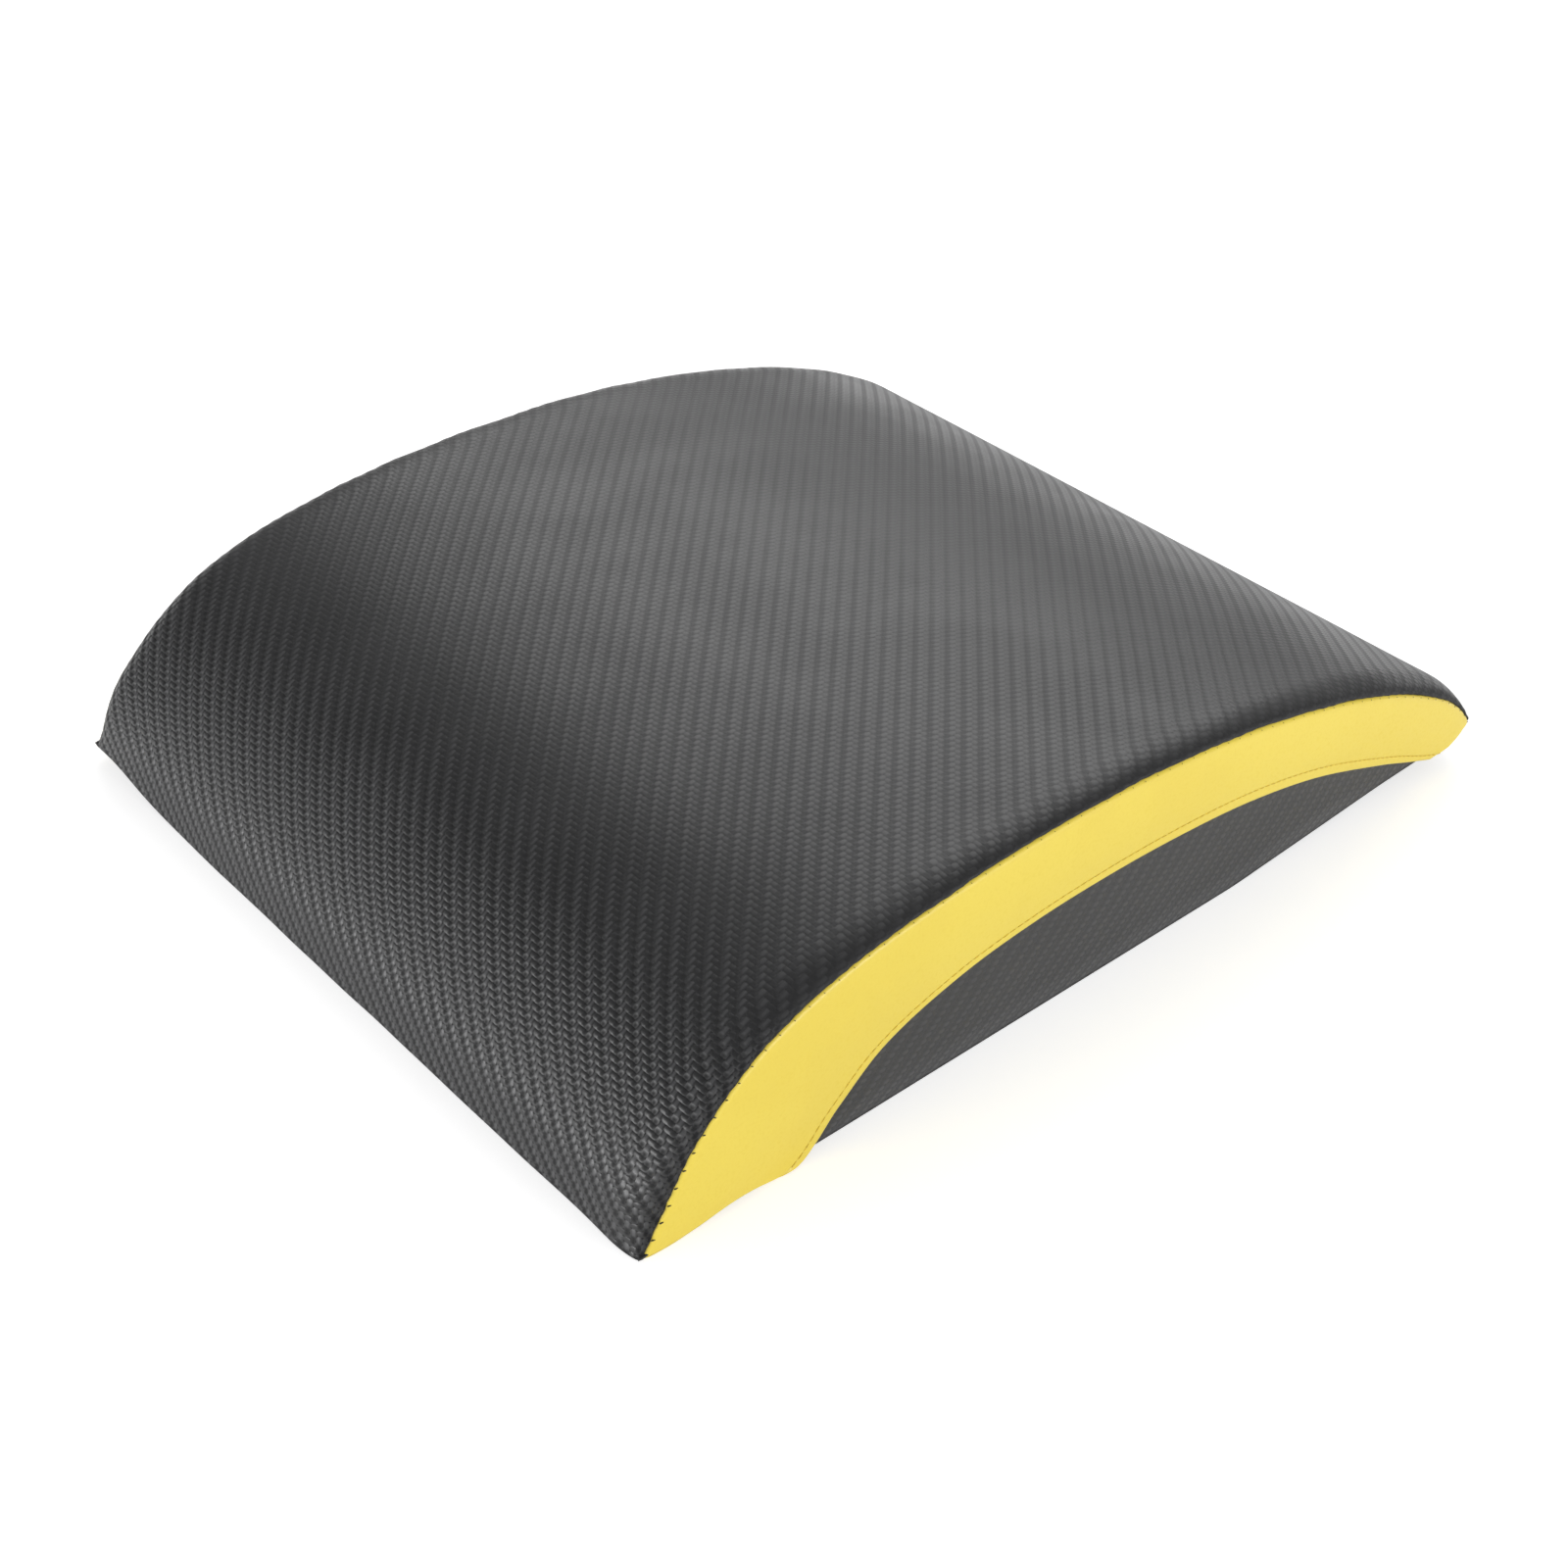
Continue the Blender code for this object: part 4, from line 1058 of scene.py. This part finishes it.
class ABMAT_OT_yellow_bands(bpy.types.Operator):
    """Makes the padded yellow bands with their folded hems"""

    bl_idname = "ab_mat.yellow_bands"
    bl_label = "Yellow bands"

    def execute(self, context):
        outer, inner, cloth, groove, edge = band_grids(context.scene.ab_mat_sizes)
        for name, direction in SIDES:
            faces = [grid * (1, direction, 1) for grid in (outer, inner)]
            piece = closed_sheet("band_" + name, "side_band_" + name, "yellow_vinyl", faces, cloth, edge)
            give_values(piece.data, "groove", "FLOAT", "value", np.tile(groove.ravel(), 2))
        return {"FINISHED"}


class ABMAT_OT_band_stitching(bpy.types.Operator):
    """Sews the ochre topstitch along each hem and the black stitches across each side seam"""

    bl_idname = "ab_mat.band_stitching"
    bl_label = "Band stitching"

    def execute(self, context):
        sizes = context.scene.ab_mat_sizes
        outer, _, cloth, _, _ = band_grids(sizes)
        normals = grid_normals(outer, np.array((0, 1.0, 0)))
        wide = (np.ptp(cloth[..., 1], axis=1) > 2.2 * sizes.hem_line) & (outer[:, 0, 2] > 1.5 * MM)

        def on_hem(grid):
            rows = zip(cloth[wide][..., 1], grid[wide])
            return np.array([[np.interp(sizes.hem_line, run, part) for part in row.T] for run, row in rows])

        hem_up = on_hem(normals)
        hem = on_hem(outer) + hem_up * 0.06 * MM
        seam_up = normals[3:-3, -6]
        seam = outer[3:-3, -3] + seam_up * 0.15 * MM
        shown = (0.45 + 0.75 * bell(STATIONS, 0.16) + 0.25 * bell(1 - STATIONS, 0.08))[3:-3]
        for name, direction in SIDES:
            flip = (1, direction, 1)
            sew(
                "hem_stitches_" + name,
                [(hem * flip, hem_up * flip, 1.0)],
                "ochre_thread",
                "yellow_vinyl",
                Stitch_Pitch=sizes.stitch_pitch,
                Stitch_Length=sizes.stitch_pitch * STITCH_SHARE,
                Thread_Width=sizes.thread * 0.85,
            )
            sew(
                "seam_stitches_" + name,
                [(seam * flip, seam_up * flip, shown)],
                "black_thread",
                "carbon_vinyl",
                Stitch_Pitch=sizes.seam_pitch,
                Stitch_Length=1.2 * MM,
                Thread_Width=sizes.thread * 0.85,
                Turned=direction * radians(68),
                Unevenness=0.25,
            )
        return {"FINISHED"}


def side_cover_grid(face, foot):
    """The left side cover at a distance from the middle, from a foot above the base to the band."""
    hem, seam = band_edges()
    upper = above_sole(hem + (seam - hem) * 0.9, SHEET)
    upper = upper[np.append(True, np.diff(np.maximum.accumulate(upper[:, 0])) > 0)]
    x = np.interp(np.linspace(0, 1, 150), np.linspace(0, 1, len(upper)), upper[:, 0])
    low = sole(x) + foot
    top = np.maximum(np.interp(x, *upper.T), low + PANEL_FOOT)
    z = low[:, None] + (top - low)[:, None] * np.linspace(0, 1, 34)
    return np.stack([np.broadcast_to(x[:, None], z.shape), np.full(z.shape, face), z], axis=-1)


class ABMAT_OT_side_covers(bpy.types.Operator):
    """Makes the black panels under the yellow bands"""

    bl_idname = "ab_mat.side_covers"
    bl_label = "Side covers"

    def execute(self, context):
        outer, inner = side_cover_grid(PANEL_OUTER, PANEL_FOOT), side_cover_grid(PANEL_OUTER - COVER, SHEET)
        x, z = outer[..., 0], outer[..., 2]
        below_hem = np.clip(np.interp(x, *HEM.T, left=0, right=0) - z, 0, None)
        above_floor = z - sole(x)
        bulge = eased(below_hem / (16 * MM)) * eased(above_floor / (10 * MM))
        ripple = unevenness(outer.reshape(-1, 3) * (1, 0, 1), 32 * MM, seed=11).reshape(x.shape)
        push = bulge * (0.9 + 0.5 * ripple) * MM - 0.25 * MM * fading(above_floor, 2.5 * MM)
        outer[..., 1] += push
        inner[..., 1] += push
        cloth = np.stack([x, z], axis=-1)
        # Nearness to the foot: it drives rubbing there and the carbon vinyl's painted shade.
        edge = fading(above_floor, 2 * MM)
        for name, direction in SIDES:
            faces = [grid * (1, direction, 1) for grid in (outer, inner)]
            node = "side_panel_" + name
            piece = closed_sheet("side_cover_" + name, node, "carbon_vinyl", faces, cloth, edge)
        return {"FINISHED"}


def base_grids(direction):
    """The lower and upper faces of one base panel, and their cloth places."""
    outside = np.linspace(BASE_INSET - PANEL_OUTER, -SLOT_HALF, 22)
    y = np.concatenate([outside, np.linspace(-SLOT_HALF, SLOT_HALF, 81)[1:-1], -outside[::-1]])
    fades = eased((FADE_END - np.abs(y)) / DIP_FADE)
    opening = np.clip((SLOT_HALF + SLOT_CLOSING - np.abs(y)) / SLOT_CLOSING, 0, 1)
    edges = BASE_SEAM + (SLOT_HALF_WIDTH - BASE_SEAM) * opening
    low_end, high_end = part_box("base_panel_" + ("rear" if direction > 0 else "front"))
    ends = np.full(len(y), high_end.x if direction > 0 else -low_end.x)
    if direction < 0:
        inset = np.clip((np.abs(y) - FLAT_HALF) / (ROLL_WIDTH - COVER), 0, 1)
        ends -= BASE_TOE_ROUND * (1 - np.sqrt(1 - inset**2))
    fold = MM * np.array(
        (0, 0.1, 0.3, 0.6, 1.0, 1.6, 2.4, 3.0, 3.4, 4.2, 5.4, 6.6, 7.0, 7.4, 8.2, 9.0, 9.6)
    )
    start = FOLD_END + 0.5 * MM
    rows = []
    for place, fade, edge, end in zip(y, fades, edges, ends):
        x = np.concatenate([edge + fold, start + (end - start) * np.linspace(0, 1, 66)])
        z = np.maximum(sole(direction * x), dip(x) * fade)
        from_edge = x - edge
        thick = np.where(x <= FOLD_END, COVER + (FOLD - COVER) * fade, COVER)
        round_off = thick / 2 * (1 - rounded(from_edge, 1.0 * MM))
        sunk = 0.14 * MM * sum(bell(from_edge - seam, 0.5 * MM) for seam in ZIP_SEAMS) * fade
        flat = np.column_stack([direction * x, np.full(len(x), place)])
        lower, upper = z + round_off + sunk, z + thick - round_off
        rows.append((np.column_stack([flat, lower]), np.column_stack([flat, upper]), flat))
    return [np.array(grid) for grid in zip(*rows)]


def seam_distance(points):
    """0 at the base's outer seams and beside the zip, 1 between them."""
    from_side = eased((PANEL_OUTER - np.abs(points[:, 1])) / (15 * MM))
    x = np.abs(points[:, 0])
    return from_side * eased((x - DIP_REACH) / (15 * MM)) * eased((HALF_LENGTH - x) / (20 * MM))


class ABMAT_OT_base_covers(bpy.types.Operator):
    """Makes the two base panels, drawn up and folded beside the zip, and sews the zip in"""

    bl_idname = "ab_mat.base_covers"
    bl_label = "Base covers"

    def execute(self, context):
        sizes = context.scene.ab_mat_sizes
        rows = []
        for name, direction in (("front", -1), ("rear", 1)):
            lower, upper, cloth = base_grids(direction)
            points = lower.reshape(-1, 3)
            slack = unevenness(points, 38 * MM, seed=21 + direction) * 0.25 * MM * seam_distance(points)
            lower[..., 2] += np.abs(slack.reshape(lower.shape[:2]))
            edge = fading(PANEL_OUTER - np.abs(lower[..., 1]), 3 * MM)
            faces = (lower, upper)
            piece = closed_sheet("base_cover_" + name, "base_panel_" + name, "base_vinyl", faces, cloth, edge)
            for offset in ZIP_SEAMS:
                line = np.empty((ZIP_SEAM_POINTS, 3))
                line[:, 0] = direction * (SLOT_HALF_WIDTH + offset)
                line[:, 1] = np.linspace(-SLOT_HALF, SLOT_HALF, ZIP_SEAM_POINTS)
                line[:, 2] = DIP - 0.02 * MM
                rows.append((line, np.tile((0, 0, -1.0), (ZIP_SEAM_POINTS, 1)), 1.0))
        sew(
            "zip_stitches",
            rows,
            "black_thread",
            "base_vinyl",
            Stitch_Pitch=sizes.stitch_pitch,
            Stitch_Length=sizes.stitch_pitch * STITCH_SHARE,
            Thread_Width=sizes.thread,
        )
        return {"FINISHED"}


TAPE_EDGE_STEPS = MM * np.array((0.0, 0.1, 0.25, 0.5, 0.8, 1.0, 1.2))


class ABMAT_OT_zip_tapes(bpy.types.Operator):
    """Weaves the zip's two tapes and the patches sewn across their ends"""

    bl_idname = "ab_mat.zip_tapes"
    bl_label = "Zip tapes"

    def execute(self, context):
        for name in ("tape_front", "tape_rear", "end_tab_left", "end_tab_right"):
            low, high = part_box("zip_" + name)
            near, far = low.x + TAPE_EDGE_STEPS, high.x - TAPE_EDGE_STEPS[::-1]
            x = np.concatenate([near, np.linspace(near[-1], far[0], 16)[1:-1], far])
            y = np.linspace(low.y, high.y, max(8, int((high.y - low.y) / (2.5 * MM))))
            nearest = np.minimum(x - low.x, high.x - x)
            bead = (high.z - low.z) / 2 * rounded(nearest, 0.4 * MM, 0.02)
            bead -= 0.08 * MM * bell(nearest - 1.0 * MM, 0.3 * MM)
            middle = (low.z + high.z) / 2
            grid_x, grid_y = np.meshgrid(x, y)
            heights = [np.broadcast_to(middle + sign * bead, grid_x.shape) for sign in (-1, 1)]
            faces = [np.stack([grid_x, grid_y, height], axis=-1) for height in heights]
            cloth = np.stack([grid_y, grid_x], axis=-1)
            closed_sheet("woven_" + name, "zip_" + name, "zip_tape", faces, cloth, np.zeros(grid_x.shape))
        return {"FINISHED"}


class ABMAT_OT_corner_tails(bpy.types.Operator):
    """Makes the ends of the seam allowance that stick out at the toe's two corners"""

    bl_idname = "ab_mat.corner_tails"
    bl_label = "Corner tails"

    def execute(self, context):
        run = np.linspace(0, 1, 14)
        x = -HALF_LENGTH + 1.0 * MM + run * 13 * MM
        tip = np.sqrt(np.clip(1 - (1 - run / 0.16).clip(0, 1) ** 2, 0.03, 1))
        width = 1.5 * MM * tip * np.sqrt(np.clip(1 - run**3, 0.02, 1))
        rise = (0.75 + 0.25 * np.sin(run * 5.0)) * MM + 0.1 * MM
        turns = np.linspace(0, 2 * pi, 11)[:-1]
        for name, direction in SIDES:
            y = direction * (HALF_SEAM - 2.0 * MM * run**1.5)
            mesh = bmesh.new()
            loops = []
            for px, py, pz, w in zip(x, y, rise, width):
                ring = [(px, py + w / 2 * cos(a), pz + 0.42 * MM * sin(a)) for a in turns]
                loops.append([mesh.verts.new(point) for point in curled(ring)])
            for ring, following in pairwise(loops):
                for k in range(len(ring)):
                    mesh.faces.new((ring[k - 1], ring[k], following[k], following[k - 1]))
            mesh.faces.new(loops[0])
            mesh.faces.new(loops[-1])
            bmesh.ops.recalc_face_normals(mesh, faces=mesh.faces)
            data = bpy.data.meshes.new("corner_tail_" + name)
            mesh.to_mesh(data)
            mesh.free()
            data.shade_smooth()
            data.materials.append(finish("base_vinyl"))
            settle(linked(data.name, data), "base_vinyl")
        return {"FINISHED"}


class ABMAT_OT_zip_fittings(bpy.types.Operator):
    """Gives the zip's teeth, stops, slider and pull tab their moulded and enamelled finishes"""

    bl_idname = "ab_mat.zip_fittings"
    bl_label = "Zip fittings"

    def execute(self, context):
        slots = {entry["node"]: entry["material_slot"] for entry in frame["record"]["subparts"]}
        for name, node in frame["nodes"].items():
            if slots[name] in ("zip_plastic", "zip_metal"):
                node.data.materials.clear()
                node.data.materials.append(finish(slots[name]))
        return {"FINISHED"}


# Studio


CAMERA_PLACE = (-0.45464949, -0.48605207, 0.47725327)
CAMERA_AZIMUTH = -0.74772321
CAMERA_ELEVATION = 0.6353322
CAMERA_ROLL = 0.04085479
WHITE = (1, 1, 1, 1)


def camera_matrix():
    """The camera's place and turn: an azimuth from +Y, a look down, and a small roll."""
    azimuth, elevation, roll = CAMERA_AZIMUTH, CAMERA_ELEVATION, CAMERA_ROLL
    forward = Vector((-sin(azimuth) * cos(elevation), cos(azimuth) * cos(elevation), -sin(elevation)))
    level = Vector((cos(azimuth), sin(azimuth), 0))
    over = level.cross(forward)
    right = level * cos(roll) + over * sin(roll)
    up = over * cos(roll) - level * sin(roll)
    matrix = Matrix((right, up, -forward)).transposed().to_4x4()
    matrix.translation = CAMERA_PLACE
    return matrix


def softbox(name, place, target, width, height, power):
    data = bpy.data.lights.new(name, "AREA")
    data.shape = "RECTANGLE"
    data.size, data.size_y = width, height
    data.energy = power
    made = linked(name, data)
    made.location = place
    made.rotation_euler = (Vector(target) - Vector(place)).to_track_quat("-Z", "Y").to_euler()


def light_paths(board):
    """1 for camera rays, and 1 for glossy and transmission rays."""
    path = board.add("ShaderNodeLightPath").outputs
    return path["Is Camera Ray"], board.larger(path["Is Glossy Ray"], path["Is Transmission Ray"])


def make_floor(studio):
    """A pale disc that is white in the picture away from the mat, and dimmer in reflections near it."""
    mesh = bmesh.new()
    bmesh.ops.create_circle(mesh, cap_ends=True, radius=studio.floor_radius, segments=96)
    data = bpy.data.meshes.new("studio_floor")
    mesh.to_mesh(data)
    mesh.free()
    board = Finish("studio_floor", studio.floor)
    away = board.vector("LENGTH", {0: board.place}, "Value")
    seen, mirrored = light_paths(board)
    glow = board.times(seen, board.ramp(away, 0.6, 2.5, 0.62, 1.0))
    glow = board.math("ADD", glow, board.times(mirrored, board.ramp(away, 0.2, 0.55, 0.42, 1.25)))
    looks = {"Base Color": studio.floor, "Roughness": 0.9, "Specular IOR Level": 0.1}
    board.shade({**looks, "Emission Color": WHITE, "Emission Strength": glow})
    data.materials.append(board.made)
    linked("studio_floor", data)


def make_world(studio):
    """A white backdrop, an even room light, and reflections that are light behind and before the mat."""
    world = bpy.data.worlds.new("studio_room")
    world.use_nodes = True
    board = Board(world.node_tree)
    direction = board.add("ShaderNodeTexCoord").outputs["Generated"]
    ahead = board.vector("DOT_PRODUCT", {0: direction, 1: (0.85, 0.5, 0.0)}, "Value")
    _, _, up = board.parts(direction)
    behind_mat = board.ramp(ahead, 0.1, 0.8, studio.ceiling, 0.55)
    behind_mat = board.times(behind_mat, board.ramp(up, 0.0, 0.5, 0.35, 1.0))
    before_mat = board.times(board.ramp(up, 0.45, 0.05, 0.0, 0.95), board.ramp(ahead, 0.2, -0.4))
    seen, mirrored = light_paths(board)
    backdrop = board.larger(board.times(mirrored, board.larger(behind_mat, before_mat)), seen)
    diffuse = board.add("ShaderNodeLightPath").outputs["Is Diffuse Ray"]
    background = world.node_tree.nodes["Background"].inputs
    board.feed(background["Color"], WHITE)
    board.feed(background["Strength"], board.larger(backdrop, board.times(diffuse, studio.world)))
    bpy.context.scene.world = world


class ABMAT_OT_studio(bpy.types.Operator):
    """Sets up the pale floor, the soft lights, the world and the camera"""

    bl_idname = "ab_mat.studio"
    bl_label = "Studio"

    def execute(self, context):
        studio = context.scene.ab_mat_studio
        make_floor(studio)
        make_world(studio)
        softbox("top_softbox", (1.3, 1.2, 1.5), (0, 0, 0.05), 1.9, 1.7, studio.top_power)
        softbox("side_softbox", (0.25, -1.6, 0.22), (0, 0, 0.03), 0.9, 0.7, studio.side_power)
        softbox("low_softbox", (-1.15, 0.15, 0.16), (-0.17, 0, 0.03), 1.3, 0.3, studio.low_power)
        lens = bpy.data.cameras.new("photo_camera")
        lens.sensor_width = 36
        lens.lens = studio.lens
        lens.clip_start, lens.clip_end = 0.01, 50
        camera = linked("photo_camera", lens)
        camera.matrix_world = camera_matrix()
        context.scene.camera = camera
        context.scene.view_settings.view_transform = "Standard"
        return {"FINISHED"}


OPERATORS = (
    ABMAT_OT_foam_pad,
    ABMAT_OT_top_cover,
    ABMAT_OT_yellow_bands,
    ABMAT_OT_band_stitching,
    ABMAT_OT_side_covers,
    ABMAT_OT_base_covers,
    ABMAT_OT_zip_tapes,
    ABMAT_OT_zip_fittings,
    ABMAT_OT_corner_tails,
    ABMAT_OT_studio,
)
GROUPS = {"ab_mat_sizes": AbMatSizes, "ab_mat_looks": AbMatLooks, "ab_mat_studio": AbMatStudio}


class ABMAT_PT_panel(bpy.types.Panel):
    """Lists the mat's sizes and colours, and the operators that make its pieces"""

    bl_idname = "ABMAT_PT_panel"
    bl_label = "Ab mat"
    bl_space_type = "VIEW_3D"
    bl_region_type = "UI"
    bl_category = "Ab mat"

    def draw(self, context):
        for name, kind in GROUPS.items():
            box = self.layout.box()
            for label in kind.__annotations__:
                box.prop(getattr(context.scene, name), label)
        for operator in OPERATORS:
            self.layout.operator(operator.bl_idname)


def register():
    for group in (*GROUPS.values(), *OPERATORS, ABMAT_PT_panel):
        bpy.utils.register_class(group)
    for name, group in GROUPS.items():
        setattr(bpy.types.Scene, name, bpy.props.PointerProperty(type=group))


def unregister():
    for name in GROUPS:
        delattr(bpy.types.Scene, name)
    for group in (ABMAT_PT_panel, *OPERATORS[::-1], *GROUPS.values()):
        bpy.utils.unregister_class(group)


def main():
    register()
    for operator in OPERATORS:
        area, name = operator.bl_idname.split(".")
        getattr(getattr(bpy.ops, area), name)()


if __name__ == "__main__":
    main()
